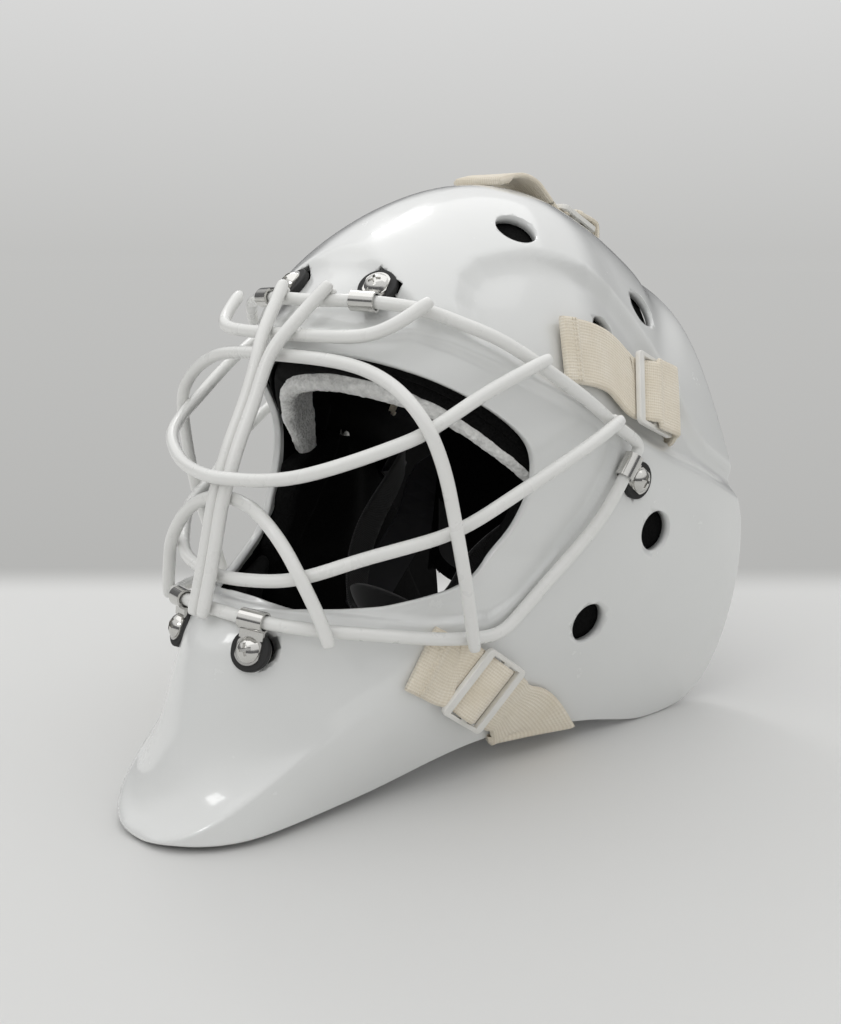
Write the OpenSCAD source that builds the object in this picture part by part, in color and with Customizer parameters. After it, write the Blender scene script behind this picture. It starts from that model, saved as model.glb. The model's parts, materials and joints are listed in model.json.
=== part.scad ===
// Hockey goalie mask: moulded shell, welded wire cage on rolled clips, foam liner,
// chin sling, and a backplate that floats on five elastic straps.
// The mask stands on its chin and cheek wings and faces -Y. +X is the wearer's left.

/* [Overall size] */
// Width across the cheek wings
mask_width = 232; // [212:4:252]
// Length from the chin lip to the rear rim
mask_depth = 328; // [304:4:352]
// Height from the table to the crown
mask_height = 285; // [265:4:305]

/* [Shell] */
// Thickness of the shell wall
wall = 4.5; // [3.5:0.5:6]
// Diameter of the round vents
vent_d = 21; // [14:1:24]
// How far the panels beside the crown are sunk
panel_sink = 5; // [0:1:7]
// How far the forehead is sunk round its two clips
pocket_sink = 5; // [0:1:7]
// Height of the step that the cage wire lies against
ledge_step = 2.5; // [0:0.5:4]

/* [Cage] */
// Diameter of the cage wire
wire_d = 6; // [5:0.5:7]
// Space left between two wires that cross
weld_gap = 0.2; // [0.1:0.1:0.4]

/* [Clips] */
// Width of the rolled clips
clip_w = 12; // [9:1:15]
// Thickness of the clip sheet
clip_t = 1; // [0.8:0.1:1.4]
// Diameter of the rubber washers
washer_d = 19; // [16:1:22]
// Thickness of the rubber washers
washer_t = 3.5; // [2.5:0.5:5]
// Diameter of the clip screws' heads
head_d = 11.5; // [9:0.5:13]
// Height of the clip screws' heads
head_h = 3.4; // [2.5:0.1:4.5]
// Diameter of the clip screws' shanks
shank_d = 4; // [3:0.5:5]
// Diameter of the flanges on the nuts inside
flange_d = 15; // [12:1:18]

/* [Straps] */
// Width of the elastic straps
strap_w = 32; // [26:1:36]
// Thickness of the elastic straps
strap_t = 2.2; // [1.6:0.1:2.8]
// Width of each bar of a slide
bar_w = 5; // [4:0.5:6]
// Thickness of a slide
slide_t = 2.6; // [2:0.2:3.4]
// Opening between two bars of a slide
slot_gap = 9.5; // [8.5:0.5:11]
// Width of the chin sling
sling_w = 20; // [16:1:25]

/* [Liner] */
// Thickness of the foam pads
foam_t = 12; // [8:1:15]
// Thickness of the terry sweatband
terry_t = 6; // [3:0.5:8]

/* [Backplate] */
// Thickness of the backplate
plate_t = 3; // [2:0.5:4]
// Radius that the backplate is bent to
plate_r = 86; // [80:2:92]
// Height of the backplate
plate_h = 160; // [148:4:164]

/* [Hidden] */

// Sizes that the drawn points belong to, and their shift that centres the mask on the origin
drawn = [231.3, 328, 284.8];
drawn_shift = [0, 2, -0.22];
drawn_pitch = 6.2;
// Clearance that keeps soft pieces off their neighbours
soft_gap = 0.9;
pad_gap = 1.5;
wire_pitch = wire_d + weld_gap;

function unit(v) = v / norm(v);
function flip(p, side) = [p.x * side, p.y, p.z];
// A drawn point at the mask's present size
function place(p) = [p.x * mask_width / drawn.x, (p.y + drawn_shift.y) * mask_depth / drawn.y,
    (p.z + drawn_shift.z) * mask_height / drawn.z];
// Smooth step from 0 to 1
function ease(t) = let (u = min(max(t, 0), 1)) u * u * (3 - 2 * u);

// Smooth curve through a list of points, at s from 0 to 1
function blend4(a, b, c, d, t) =
    0.5 * (2 * b + (c - a) * t + (2 * a - 5 * b + 4 * c - d) * t * t + (3 * b - a - 3 * c + d) * t * t * t);
function along(p, s) =
    let (n = len(p) - 1, u = min(max(s, 0), 1) * n, i = min(floor(u), n - 1))
    blend4(i > 0 ? p[i - 1] : 2 * p[0] - p[1], p[i], p[i + 1],
        i + 2 <= n ? p[i + 2] : 2 * p[n] - p[n - 1], u - i);
function run(p, count) = [for (k = [0 : count]) along(p, k / count)];
// Direction of a path at its point i
function tangent(p, i, looped = false) =
    let (n = len(p), a = looped ? (i + n - 1) % n : max(i - 1, 0),
        b = looped ? (i + 1) % n : min(i + 1, n - 1))
    unit(p[b] - p[a]);
// Distance from a point to a drawn line, positive on the line's right
function piece_gap(p, a, b) =
    let (d = b - a, t = min(max((p - a) * d / (d * d), 0), 1)) norm(p - a - d * t);
function right_of(p, line) =
    let (gaps = [for (i = [0 : len(line) - 2]) piece_gap(p, line[i], line[i + 1])], least = min(gaps),
        k = search(least, gaps)[0])
    least * (cross(line[k + 1] - line[k], p - line[k]) < 0 ? 1 : -1);

// Side view [y, z] of the shell's middle plane, from the chin lip over the crown. The part
// behind the rear rim only shapes the sides.
ear = [20, 110];
midline = [[-166, 3], [-158, 11], [-151, 21], [-144, 36], [-138, 54], [-132, 72], [-127, 84],
    [-117, 95], [-103, 101], [-98, 120], [-97, 150], [-88, 180], [-72, 208], [-63, 221],
    [-55, 231], [-43, 243], [-27, 255], [-8, 266], [15, 276], [40, 283], [62, 285], [88, 282],
    [120, 271], [147, 256], [162, 244], [190, 232], [225, 212], [255, 180], [270, 130],
    [260, 60], [215, -20], [140, -80], [40, -110], [-60, -100], [-130, -60], [-160, -25],
    [-166, 3]];
// Half width of the full side by station: rows rise from the table, columns run front to rear
side_width = [[88, 66, 66, 81, 113, 148], [54, 71, 80, 90, 114, 144], [43, 53, 85, 97, 114, 137],
    [41, 63, 97, 109, 114, 127], [52, 80, 114, 117, 111, 130], [70, 96, 114, 122, 123, 124]];
width_from = -160;
width_to = 160;
width_top = 300;

lip_angle = atan2(midline[0][1] - ear[1], ear[0] - midline[0][0]) - 0.001;
function front_angle(y, z) =
    let (a = atan2(z - ear[1], ear[0] - y)) a < lip_angle ? a + 360 : a;
reach_table = [for (c = run(midline, 8 * (len(midline) - 1) - 1))
    [front_angle(c[0], c[1]), norm(c - ear)]];
function reach(a) = lookup(a, reach_table);
function full_width(y, z) =
    along([for (row = side_width) along(row, (y - width_from) / (width_to - width_from))], z / width_top);
// Direction on a round ball that stands for a side-view point
function ball(c) =
    let (a = front_angle(c[0], c[1]), q = min(1, norm(c - ear) / reach(a)))
    [sqrt(1 - q * q), -q * cos(a), q * sin(a)];
function crest(c) = let (a = front_angle(c[0], c[1])) [0, -cos(a), sin(a)];
// Side-view point that a ball direction stands for
function side_view(v) =
    let (a = front_angle(ear[0] + v.y, ear[1] + v.z), q = norm([v.y, v.z]))
    [ear[0] - q * reach(a) * cos(a), ear[1] + q * reach(a) * sin(a)];
function smooth_point(v) =
    let (c = side_view(v)) place([full_width(c[0], c[1]) * v.x, c[0], c[1]]);
function ball_normal(v) =
    let (e = 0.012, a = unit(cross(v, [0, 0.6, 0.8])), b = cross(v, a))
    unit(cross(smooth_point(unit(v + a * e)) - smooth_point(unit(v - a * e)),
        smooth_point(unit(v + b * e)) - smooth_point(unit(v - b * e))));

// Lines drawn on the side view: the ridge over the sunk panel, its lower end, the front edge
// of the crown band, and the step along the cage
ridge_line = [[-27, 220], [-25, 231], [-17, 242], [-5, 249], [10, 252], [27, 253], [45, 249], [63, 243],
    [80, 232], [94, 217], [105, 201], [113, 184], [119, 166], [130, 151], [160, 132]];
panel_line = [[170, 110], [124, 134], [98, 145], [70, 158], [36, 173], [0, 193], [-30, 216]];
pocket_line = [[-36, 222], [-36, 236], [-32, 247], [-27, 254], [-18, 261], [-16, 280]];
ledge_line = [[-60, 216], [-44, 218], [-32, 212], [-16, 202], [-3, 195], [36, 175], [52, 162], [46, 148],
    [32, 126], [10, 105], [-8, 90], [-22, 84], [-50, 85], [-74, 90], [-94, 94], [-115, 98]];
edge_round = 2.5;
panel_blend = 14;
panel_foot = 10;
pocket_blend = 10;
ledge_blend = 6;
// A moulded edge: crisp but rounded at the top, and easing out at its foot
function fall(distance, foot) =
    let (d = min(max(distance, 0), foot), past = d - edge_round)
    past < 0 ? d * d / (edge_round * foot)
        : (edge_round + 2 * past - past * past / (foot - edge_round)) / foot;
// Height of the moulded relief over the smooth skin
function relief(c) =
    - panel_sink * fall(right_of(c, ridge_line), panel_blend) * ease(right_of(c, panel_line) / panel_foot)
    - pocket_sink * fall(-right_of(c, pocket_line), pocket_blend) * ease((c[1] - 214) / 14)
        * ease((-c[0] - 8) / 12)
    - ledge_step * fall(right_of(c, ledge_line), ledge_blend);
// Point at a height above the moulded skin, from a ball direction or a side-view point
function raised(v, h) = smooth_point(v) + ball_normal(v) * (relief(side_view(v)) + h);
function above(c, h) = let (v = ball(c)) smooth_point(v) + ball_normal(v) * (relief(c) + h);
function skin_normal(c) = ball_normal(ball(c));

// Edge of the face opening and rear and lower rim, matched point by point from brow to chin
opening_edge = [[-71, 209], [-64, 207.5], [-54, 203], [-39, 194], [-21, 181], [-8, 168], [-3.5, 157],
    [-4, 144], [-9, 131], [-17.5, 119], [-33, 103.5], [-61, 97], [-77, 96.5], [-92, 98], [-103, 101]];
rear_rim = [[162, 244], [161, 232], [157, 205], [153, 178], [152, 150], [156, 122], [160, 104],
    [158, 60], [147, 10], [106, 0.2], [57, 9], [-8, 15], [-72, 6], [-128, 3.5], [-166, 3]];
// Ball direction by t, from the brow's middle at 0 to the chin's at 1 and mirrored below 0,
// and by s, from the face opening at 0 to the rim at 1
function strip(t, s) =
    let (a = ball(along(opening_edge, abs(t))), b = ball(along(rear_rim, abs(t))),
        v = unit(a * (1 - s) + b * s), middle = t == 0 || abs(t) == 1)
    middle ? unit([0, v.y, v.z]) : v;
function inside(t, s, depth) = flip(raised(strip(t, s), -depth), t < 0 ? -1 : 1);

// Solid from a list of rings, each a closed loop of as many points. The two ends are closed
// by a ladder across the loop.
function ring_faces(rings, sides, looped) =
    [for (i = [0 : rings - (looped ? 1 : 2)]) for (j = [0 : sides - 1])
        let (a = i * sides + j, b = i * sides + (j + 1) % sides,
            c = ((i + 1) % rings) * sides + (j + 1) % sides, d = ((i + 1) % rings) * sides + j)
        each [[a, b, c], [a, c, d]]];
function ladder(first, sides, far) =
    [for (j = [0 : floor(sides / 2) - 2])
        let (a = first + j, b = first + j + 1, c = first + sides - 2 - j, d = first + sides - 1 - j)
        each far ? [[a, b, c], [a, c, d]] : [[a, c, b], [a, d, c]]];
module rings_solid(rings, looped = false) {
    sides = len(rings[0]);
    last = (len(rings) - 1) * sides;
    polyhedron([for (r = rings) each r], concat(ring_faces(len(rings), sides, looped),
        looped ? [] : ladder(0, sides, false), looped ? [] : ladder(last, sides, true)));
}

// Coordinate frame with its origin at p, x along a and z along n as nearly as it can
module stand(p, a, n) {
    x = unit(a);
    z = unit(n - x * (n * x));
    y = cross(z, x);
    multmatrix([[x.x, y.x, z.x, p.x], [x.y, y.y, z.y, p.y], [x.z, y.z, z.z, p.z], [0, 0, 0, 1]]) children();
}
module both_sides() {
    children();
    mirror([1, 0, 0]) children();
}
module on_side(side) {
    if (side < 0) mirror([1, 0, 0]) children();
    else children();
}

// Round wire along a path, with slightly rounded ends
cage_heart = [0, 40, 150];
wire_sides = 8;
function wire_ring(c, t, r) =
    let (u = unit(cross(t, c - place(cage_heart))), v = cross(t, u))
    [for (k = [0 : wire_sides - 1]) c + r * (u * cos((k + 0.5) * 360 / wire_sides)
        - v * sin((k + 0.5) * 360 / wire_sides))];
module wire(path, looped = false) {
    r = wire_d / 2;
    n = len(path) - 1;
    body = [for (i = [0 : n]) wire_ring(path[i], tangent(path, i, looped), r)];
    start = tangent(path, 0);
    end = tangent(path, n);
    rings_solid(looped ? body : concat([wire_ring(path[0] - start * r * 0.3, start, r * 0.7)], body,
        [wire_ring(path[n] + end * r * 0.3, end, r * 0.7)]), looped);
}

// Cage wires: drawn points [x, y, z, layer], from the middle outwards. A layer is one wire's
// thickness outside the perimeter wire.
function wire_point(p) =
    let (c = place(p)) c + unit(c - place(cage_heart)) * p[3] * (wire_pitch - drawn_pitch);
function half_path(points, count) = run([for (p = points) wire_point(p)], count);
function whole_path(points, count) =
    let (half = half_path(points, count))
    concat([for (i = [count : -1 : 1]) flip(half[i], -1)], half);

perimeter_points = [[0, -58.5, 229.5, 0], [14, -57, 229.7, 0], [29, -54, 229.7, 0], [45, -48, 228.5, 0],
    [60, -40, 225.5, 0], [72, -30, 219.5, 0], [83, -18.5, 213, 0], [94, -1, 200, 0], [102, 22, 184.5, 0],
    [106, 39, 171.5, 0], [108, 52, 164, 0], [108.5, 58, 158.5, 0], [108, 52, 151.5, 0],
    [104.5, 36, 128, 0], [97, 13, 107, 0], [90.6, -4.6, 90.7, 0], [87.5, -16, 81.3, 0], [85.1, -28.5, 78.5, 0],
    [77.1, -55.4, 82.5, 0], [65.6, -76.6, 87.2, 0], [52.5, -96, 90.7, 0], [38.5, -109.2, 93.3, 0],
    [25, -116.4, 95, 0], [0, -120.8, 96.6, 0]];
forehead_points = [[0, -71.5, 214.6, 1], [25, -70.5, 214.7, 1], [42, -68.5, 215.3, 1], [51, -65, 217.2, 1],
    [57.5, -58, 221.4, 1], [63.5, -45, 229.8, 1]];
bar_points = [[15.2, -58.5, 236.5, 1], [11.4, -67.2, 227.2, 1], [7.1, -78.8, 215, 1], [3.5, -85.7, 204.2, 1],
    [3.1, -93, 187, 1], [3.1, -102.5, 170, 1], [3.1, -109, 155, 1], [3.1, -113.5, 144, 1],
    [3.1, -117.8, 127, 1], [3.1, -122.5, 109.4, 1], [3.1, -127, 95, 1]];
eye_points = [[0, -75.5, 205.5, 0], [25, -75, 205.3, 0], [44, -73, 203.5, 0], [58, -71, 199.5, 0],
    [70.5, -70, 193, 1], [81, -68.7, 183, 1], [86, -66.2, 172.4, 1], [89, -62.6, 157.8, 1],
    [90.3, -59, 140.5, 1], [90.7, -55, 123.7, 1], [90, -50, 107.2, 1], [88.8, -45.2, 90.7, 1],
    [87.9, -41.3, 76.8, 1]];
upper_cross_points = [[0, -116.3, 155, 2], [21, -111.2, 155.5, 1], [40, -104.1, 158, 1],
    [60, -93, 165, 1], [73, -75.5, 172, 1], [79.5, -62, 177.5, 0], [88.8, -33.6, 192.8, 1], [98.6, -4.6, 204.8, 1]];
lower_cross_points = [[0, -115.3, 109.5, 0], [28, -109.5, 111.4, 0], [44, -100.5, 114.8, 0],
    [60.5, -86.5, 122.3, 0], [75, -70.5, 127.7, 0], [86, -49, 133, 0], [97.5, -26, 146.5, 0],
    [105.5, -2, 158, 1], [110.5, 22, 168.5, 1], [111.5, 36, 174.5, 1]];
mouth_points = [[0, -106.6, 144.5, 0], [15, -107.6, 142.5, 1], [27.8, -108.4, 136, 1], [37.5, -107.8, 126.8, 1],
    [44.7, -107.2, 117, 1], [49.2, -105.2, 107.4, 1], [53.4, -103.3, 97.7, 1], [56.4, -101.5, 87, 1]];

perimeter_half = half_path(perimeter_points, 42);
module perimeter_wire() {
    n = len(perimeter_half) - 1;
    color("white") wire(concat(perimeter_half,
        [for (i = [n - 1 : -1 : 1]) flip(perimeter_half[i], -1)]), true);
}
module forehead_wire() { color("white") wire(whole_path(forehead_points, 12)); }
module centre_bar(side) {
    least = wire_pitch / 2;
    color("white") wire([for (p = half_path(bar_points, 18)) [side * max(p.x, least), p.y, p.z]]);
}
module centre_bar_left() { centre_bar(1); }
module centre_bar_right() { centre_bar(-1); }
module eye_arch_wire() { color("white") wire(whole_path(eye_points, 22)); }
module upper_cross_wire() { color("white") wire(whole_path(upper_cross_points, 16)); }
module lower_cross_wire() { color("white") wire(whole_path(lower_cross_points, 17)); }
module mouth_arch_wire() { color("white") wire(whole_path(mouth_points, 14)); }

// Clip seats: side-view place of the screw, and the number of the wire's point beside it
clip_seats = [[[-42, 237], 4], [[-117, 81], 40], [[64, 141], 22]];
seat_depth = 0.6;
seat_clearance = 0.4;
shank_clearance = 0.2;
roll_clearance = 0.7;
function clip_origin(k) = above(clip_seats[k][0], 0);
// Axes of a clip: along the wire, away from the wire along the shell, and off the shell
function clip_axes(k) =
    let (x = tangent(perimeter_half, clip_seats[k][1]), n = skin_normal(clip_seats[k][0]),
        z = unit(n - x * (n * x)))
    [x, cross(z, x), z];
module at_clip(k) { stand(clip_origin(k), clip_axes(k)[0], clip_axes(k)[2]) children(); }
// The wire's centre beside the screw, in the clip's axes
function clip_wire(k) =
    let (d = perimeter_half[clip_seats[k][1]] - clip_origin(k), a = clip_axes(k)) [d * a[1], d * a[2]];
tab_z = washer_t - seat_depth;

module clip(k) {
    w = clip_wire(k);
    toward = w.x > 0 ? 1 : -1;
    gap = abs(w.x);
    inner = wire_d / 2 + roll_clearance;
    outer = inner + clip_t;
    at_clip(k) difference() {
        union() {
            rotate([90, 0, 90]) linear_extrude(clip_w, center = true) difference() {
                union() {
                    polygon([for (p = [[clip_w * 0.4, tab_z], [clip_w * 0.4, tab_z + clip_t],
                        [gap, w.y + outer * 0.2], [gap - outer * 0.9, w.y - outer * 0.43]])
                        [p[0] * toward, p[1]]]);
                    translate(w) circle(outer, $fn = 32);
                }
                translate(w) circle(inner, $fn = 32);
            }
            translate([0, 0, tab_z]) intersection() {
                cylinder(h = clip_t, r = clip_w / 2 + 0.8, $fn = 40);
                translate([-clip_w / 2, -clip_w, -1]) cube([clip_w, 2 * clip_w, clip_t + 2]);
            }
        }
        translate([0, 0, -1]) cylinder(h = 2 * washer_t + 4, r = shank_d / 2 + shank_clearance, $fn = 24);
        translate([0, 0, tab_z + clip_t]) cylinder(h = head_h + 9, r = head_d / 2 + 0.3, $fn = 40);
        translate([0, 0, tab_z - 9]) cylinder(h = 9, r = washer_d / 2 + 0.3, $fn = 40);
    }
}
module clip_pair(k) { color("silver") both_sides() clip(k); }
module forehead_clips() { clip_pair(0); }
module chin_clips() { clip_pair(1); }
module side_clips() { clip_pair(2); }

washer_edge = 0.8;
module clip_washers() {
    color("black") both_sides() for (k = [0 : 2]) at_clip(k) translate([0, 0, -seat_depth])
        rotate_extrude($fn = 40) difference() {
            union() {
                square([washer_d / 2 - washer_edge, washer_t]);
                translate([0, washer_edge]) square([washer_d / 2, washer_t - 2 * washer_edge]);
                translate([washer_d / 2 - washer_edge, washer_edge]) circle(washer_edge, $fn = 16);
                translate([washer_d / 2 - washer_edge, washer_t - washer_edge]) circle(washer_edge, $fn = 16);
            }
            translate([-1, -1]) square([shank_d / 2 + shank_clearance + 1, washer_t + 2]);
        }
}

flange_t = 1.2;
nut_seat = wall - flange_t - 0.1;
barrel_r = shank_d / 2 + 1.2;
crown_r = head_d * 0.62;
module clip_screws() {
    head_z = tab_z + clip_t;
    color("silver") both_sides() for (k = [0 : 2]) at_clip(k) difference() {
        union() {
            translate([0, 0, head_z]) rotate_extrude($fn = 40) intersection() {
                square([head_d / 2, head_h]);
                translate([0, head_h - crown_r]) circle(crown_r, $fn = 64);
            }
            translate([0, 0, -nut_seat - flange_t])
                cylinder(h = head_z + nut_seat + flange_t + 0.5, r = shank_d / 2, $fn = 24);
        }
        for (a = [20, 110]) translate([0, 0, head_z]) rotate([0, 0, a])
            translate([-head_d * 0.26, -0.7, head_h - 1.5]) cube([head_d * 0.52, 1.4, 3]);
    }
}
module clip_nuts() {
    color("silver") both_sides() for (k = [0 : 2]) at_clip(k) difference() {
        union() {
            translate([0, 0, -nut_seat - flange_t]) cylinder(h = flange_t, r = flange_d / 2, $fn = 40);
            translate([0, 0, -nut_seat - flange_t])
                cylinder(h = nut_seat + flange_t - seat_depth - 0.2, r = barrel_r, $fn = 32);
        }
        translate([0, 0, -wall - 2]) cylinder(h = wall + 4, r = shank_d / 2 + 0.02, $fn = 24);
    }
}

// Shell: rows follow the step along the cage, three of them over the step itself
shell_stations = 56;
brow_rows = 5;
step_rows = 3;
crown_rows = 17;
inner_rows = 11;
ring_t = concat([for (i = [0 : shell_stations]) i / shell_stations],
    [for (i = [shell_stations - 1 : -1 : 1]) -i / shell_stations]);
// Share of the way from the opening to the rim where a station crosses the step
function step_share(t, low = 0, high = 0.45, tries = 12) =
    let (middle = (low + high) / 2)
    tries == 0 ? middle
        : right_of(side_view(strip(t, middle)), ledge_line) > 0 ? step_share(t, middle, high, tries - 1)
        : step_share(t, low, middle, tries - 1);
function outer_rows(t) =
    let (crossing = step_share(t), a = max(crossing - 0.03, 0.02), b = crossing + 0.005) concat(
        [for (j = [0 : brow_rows]) a * j / brow_rows],
        [for (j = [1 : step_rows]) a + (b - a) * j / step_rows],
        [for (j = [1 : crown_rows]) b + (1 - b) * j / crown_rows]);
// One loop round the wall at a station: back along the outside, forward along the inside
function shell_loop(t) = concat(
    [for (s = outer_rows(t)) inside(t, s, 0)],
    [for (j = [inner_rows : -1 : 0]) inside(t, j / inner_rows, wall)]);

// Vents: side-view places
vents = [[82, 112], [44, 69], [29, 262], [110, 222], [61, 213]];
slot_w = strap_w + 3;
slot_h = strap_t + 6.5;
slot_reach = 4 * wall + 12;

// Directions of a strap that follows the skin: along it, and across it
function lead_way(c, lead) = unit(above(c + lead, 0) - above(c - lead, 0));
function across_way(c, lead) = unit(cross(skin_normal(c), lead_way(c, lead)));

upper_slot = [107.5, 171.5];
upper_lead = [9, -3];
top_slot = [153.5, 250];

module shell() {
    color("white") difference() {
        rings_solid([for (t = ring_t) shell_loop(t)], true);
        both_sides() {
            for (c = vents) stand(above(c, 0), [0, 1, 0], skin_normal(c))
                translate([0, 0, -wall * 3]) cylinder(h = wall * 5, r = vent_d / 2, $fn = 40);
            for (k = [0 : 2]) at_clip(k) {
                translate([0, 0, -seat_depth]) cylinder(h = 9, r = washer_d / 2 + seat_clearance, $fn = 40);
                translate([0, 0, -nut_seat - 9]) cylinder(h = 9, r = flange_d / 2 + seat_clearance, $fn = 40);
                translate([0, 0, -wall - 9]) cylinder(h = wall + 12, r = barrel_r + 0.3, $fn = 32);
            }
            stand(above(upper_slot, 0), across_way(upper_slot, upper_lead), skin_normal(upper_slot))
                cube([slot_w, slot_h, slot_reach], center = true);
        }
        stand(raised(crest(top_slot), 0), [1, 0, 0], ball_normal(crest(top_slot)))
            cube([slot_w, slot_h, slot_reach], center = true);
    }
}

// A ribbon along a list of [point, across] stops. A third value keeps the across as given and
// widens the ribbon by it, where the ribbon crosses an edge aslant.
ribbon_edge = 0.7;
function ribbon_ring(c, a, n, w, t) = concat(
    [for (u = [-0.5, 0, 0.5]) c + a * u * w + n * t / 2 * (u == 0 ? 1 : ribbon_edge)],
    [for (u = [0.5, 0, -0.5]) c + a * u * w - n * t / 2 * (u == 0 ? 1 : ribbon_edge)]);
module ribbon(stops, w = strap_w, t = strap_t) {
    path = [for (s = stops) s[0]];
    rings_solid([for (i = [0 : len(stops) - 1])
        let (s = stops[i], d = tangent(path, i), slant = len(s) > 2,
            a = slant ? s[1] : unit(s[1] - d * (s[1] * d)))
        ribbon_ring(path[i], a * (slant ? s[2] : 1), unit(cross(d, a)), w, t)]);
}

// Slides: origin, direction along the strap, and direction off the shell
bar_pitch = bar_w + slot_gap;
weave = slide_t / 2 + strap_t / 2 + 0.6;
function skin_slide(c, lead, h) =
    let (x = lead_way(c, lead), n = skin_normal(c), z = unit(n - x * (n * x))) [above(c, h), x, z];
function woven(f) =
    [for (p = [[-bar_pitch - bar_w / 2 - 2, -weave], [-bar_pitch, -weave], [-bar_pitch + bar_w / 2, -weave],
        [-bar_w / 2, weave], [bar_w / 2, weave], [bar_pitch - bar_w / 2, -weave], [bar_pitch, -weave],
        [bar_pitch + bar_w / 2 + 2, -weave]])
        [f[0] + f[1] * p[0] + f[2] * p[1], cross(f[2], f[1])]];
// Stops on the skin from drawn [y, z, height] points
function skin_stops(points, lead) =
    [for (p = points) [above([p[0], p[1]], p[2]), across_way([p[0], p[1]], lead)]];

slide_w = strap_w + 6;
slide_corner = 3;
module slide(f) {
    stand(f[0], f[1], f[2]) translate([0, 0, -slide_t / 2]) linear_extrude(slide_t) difference() {
        union() {
            square([2 * bar_pitch + bar_w - 2 * slide_corner, slide_w], center = true);
            square([2 * bar_pitch + bar_w, slide_w - 2 * slide_corner], center = true);
            for (x = [-1, 1]) for (y = [-1, 1])
                translate([x * (bar_pitch + bar_w / 2 - slide_corner), y * (slide_w / 2 - slide_corner)])
                    circle(slide_corner, $fn = 24);
        }
        for (x = [-1, 1]) translate([x * bar_pitch / 2, 0]) square([slot_gap, strap_w + 1.5], center = true);
    }
}

upper_slide_at = [84.5, 180.5];
upper_slide_frame = skin_slide(upper_slide_at, [9, -3.4], 7);
lower_slide_at = [-23.5, 51];
lower_slide_frame = skin_slide(lower_slide_at, [8, -5.7], 5.4);
upper_tail = [[18, 207.5, 3.2], [30, 206, 2.8], [43, 203, 2.8], [54, 198, 3]];
upper_drop = [[106, 172, 2], [107.5, 171.5, -1], [107.5, 171.5, -4], [107.5, 171.5, -8]];
upper_stops = concat(skin_stops(upper_tail, [9, -3]), woven(upper_slide_frame),
    skin_stops(upper_drop, upper_lead));
module upper_strap(side) { color("wheat") on_side(side) ribbon(upper_stops); }
module upper_strap_left() { upper_strap(1); }
module upper_strap_right() { upper_strap(-1); }

lower_tail = [[-57.7, 72.7, 1.8], [-50, 67.5, 1.9], [-43.5, 63, 2.2]];
lower_reach = [[-3, 36.5, 2.8], [4, 31, 2.4]];
// Turn under the rim of the jaw: the rim's station, and the strap's slant over it
rim_turn = 0.752;
rim_slant = 1.75;
rim_normal = ball_normal(strip(rim_turn, 1));
rim_back = unit(inside(rim_turn - 0.04, 1, 0) - inside(rim_turn + 0.04, 1, 0));
rim_down = unit(cross(rim_back, rim_normal));
// Stop at the rim: off the outer skin, below the rim, and rearwards
function rim_stop(off, below, back) =
    [inside(rim_turn, 1, -off) + rim_down * below + rim_back * back, rim_back, rim_slant];
rim_off = strap_t / 2 + 1.6;
lower_turn = [rim_stop(rim_off, -3, -3), rim_stop(rim_off * 0.8, rim_off * 0.7, 0),
    rim_stop(-wall - rim_off * 0.8, rim_off * 0.7, 3), rim_stop(-wall - rim_off, -3, 6)];
lower_stops = concat(skin_stops(lower_tail, [8, -5.7]), woven(lower_slide_frame),
    skin_stops(lower_reach, [8, -5.7]), lower_turn);
module lower_strap(side) { color("wheat") on_side(side) ribbon(lower_stops); }
module lower_strap_left() { lower_strap(1); }
module lower_strap_right() { lower_strap(-1); }

function crest_stops(points) =
    [for (p = points) let (v = crest([p[0], p[1]])) [raised(v, p[2]), [1, 0, 0]]];
// The top slide lies between two points on the crown, its rear one raised
top_slide_at = [[119, 271, 4.6], [147, 256, 8.4]];
top_slide_frame =
    let (a = crest_stops(top_slide_at)[0][0], b = crest_stops(top_slide_at)[1][0], x = unit(b - a))
    [(a + b) / 2, x, cross([1, 0, 0], x)];
top_tail = [[32, 281.5, 2.2], [46, 284, 2.8], [62, 285, 3.4], [80, 283.5, 4.2], [93, 280.5, 4], [103, 277, 2.8]];
top_drop = [[152, 251.5, 3.5], [153.5, 250.5, 0], [153.5, 250, -4], [153.5, 250, -10]];
top_stops = concat(crest_stops(top_tail), woven(top_slide_frame), crest_stops(top_drop));
module top_strap() { color("wheat") ribbon(top_stops); }

module top_slide() { color("ivory") slide(top_slide_frame); }
module upper_slide_left() { color("ivory") slide(upper_slide_frame); }
module upper_slide_right() { color("ivory") on_side(-1) slide(upper_slide_frame); }
module lower_slide_left() { color("ivory") slide(lower_slide_frame); }
module lower_slide_right() { color("ivory") on_side(-1) slide(lower_slide_frame); }

// Liner: pads follow the shell from t0 to t1 and s0 to s1, full at the front and drawn in behind
function pad_crown(u, w) = 0.45 + 0.55 * (1 - pow(2 * u - 1, 6)) * (1 - pow(max(2 * w - 1, 0), 4));
module pad(t0, t1, s0, s1, depth, thick, nt, ns, front_cut = 0, back_cut = 0) {
    rings_solid([for (i = [0 : nt])
        let (u = i / nt, t = t0 + (t1 - t0) * u, a = s0 + front_cut * (1 - ease(u / 0.4)),
            b = s1 - back_cut * ease((u - 0.5) / 0.25)) concat(
        [for (j = [0 : ns]) inside(t, a + (b - a) * j / ns, depth)],
        [for (j = [ns : -1 : 0]) inside(t, a + (b - a) * j / ns, depth + thick * pad_crown(u, j / ns))])]);
}
pad_depth = wall + pad_gap;
module crown_pad() { color("dimgray") pad(-0.09, 0.09, 0.33, 0.78, pad_depth + 0.4, foam_t, 12, 10); }
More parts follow.
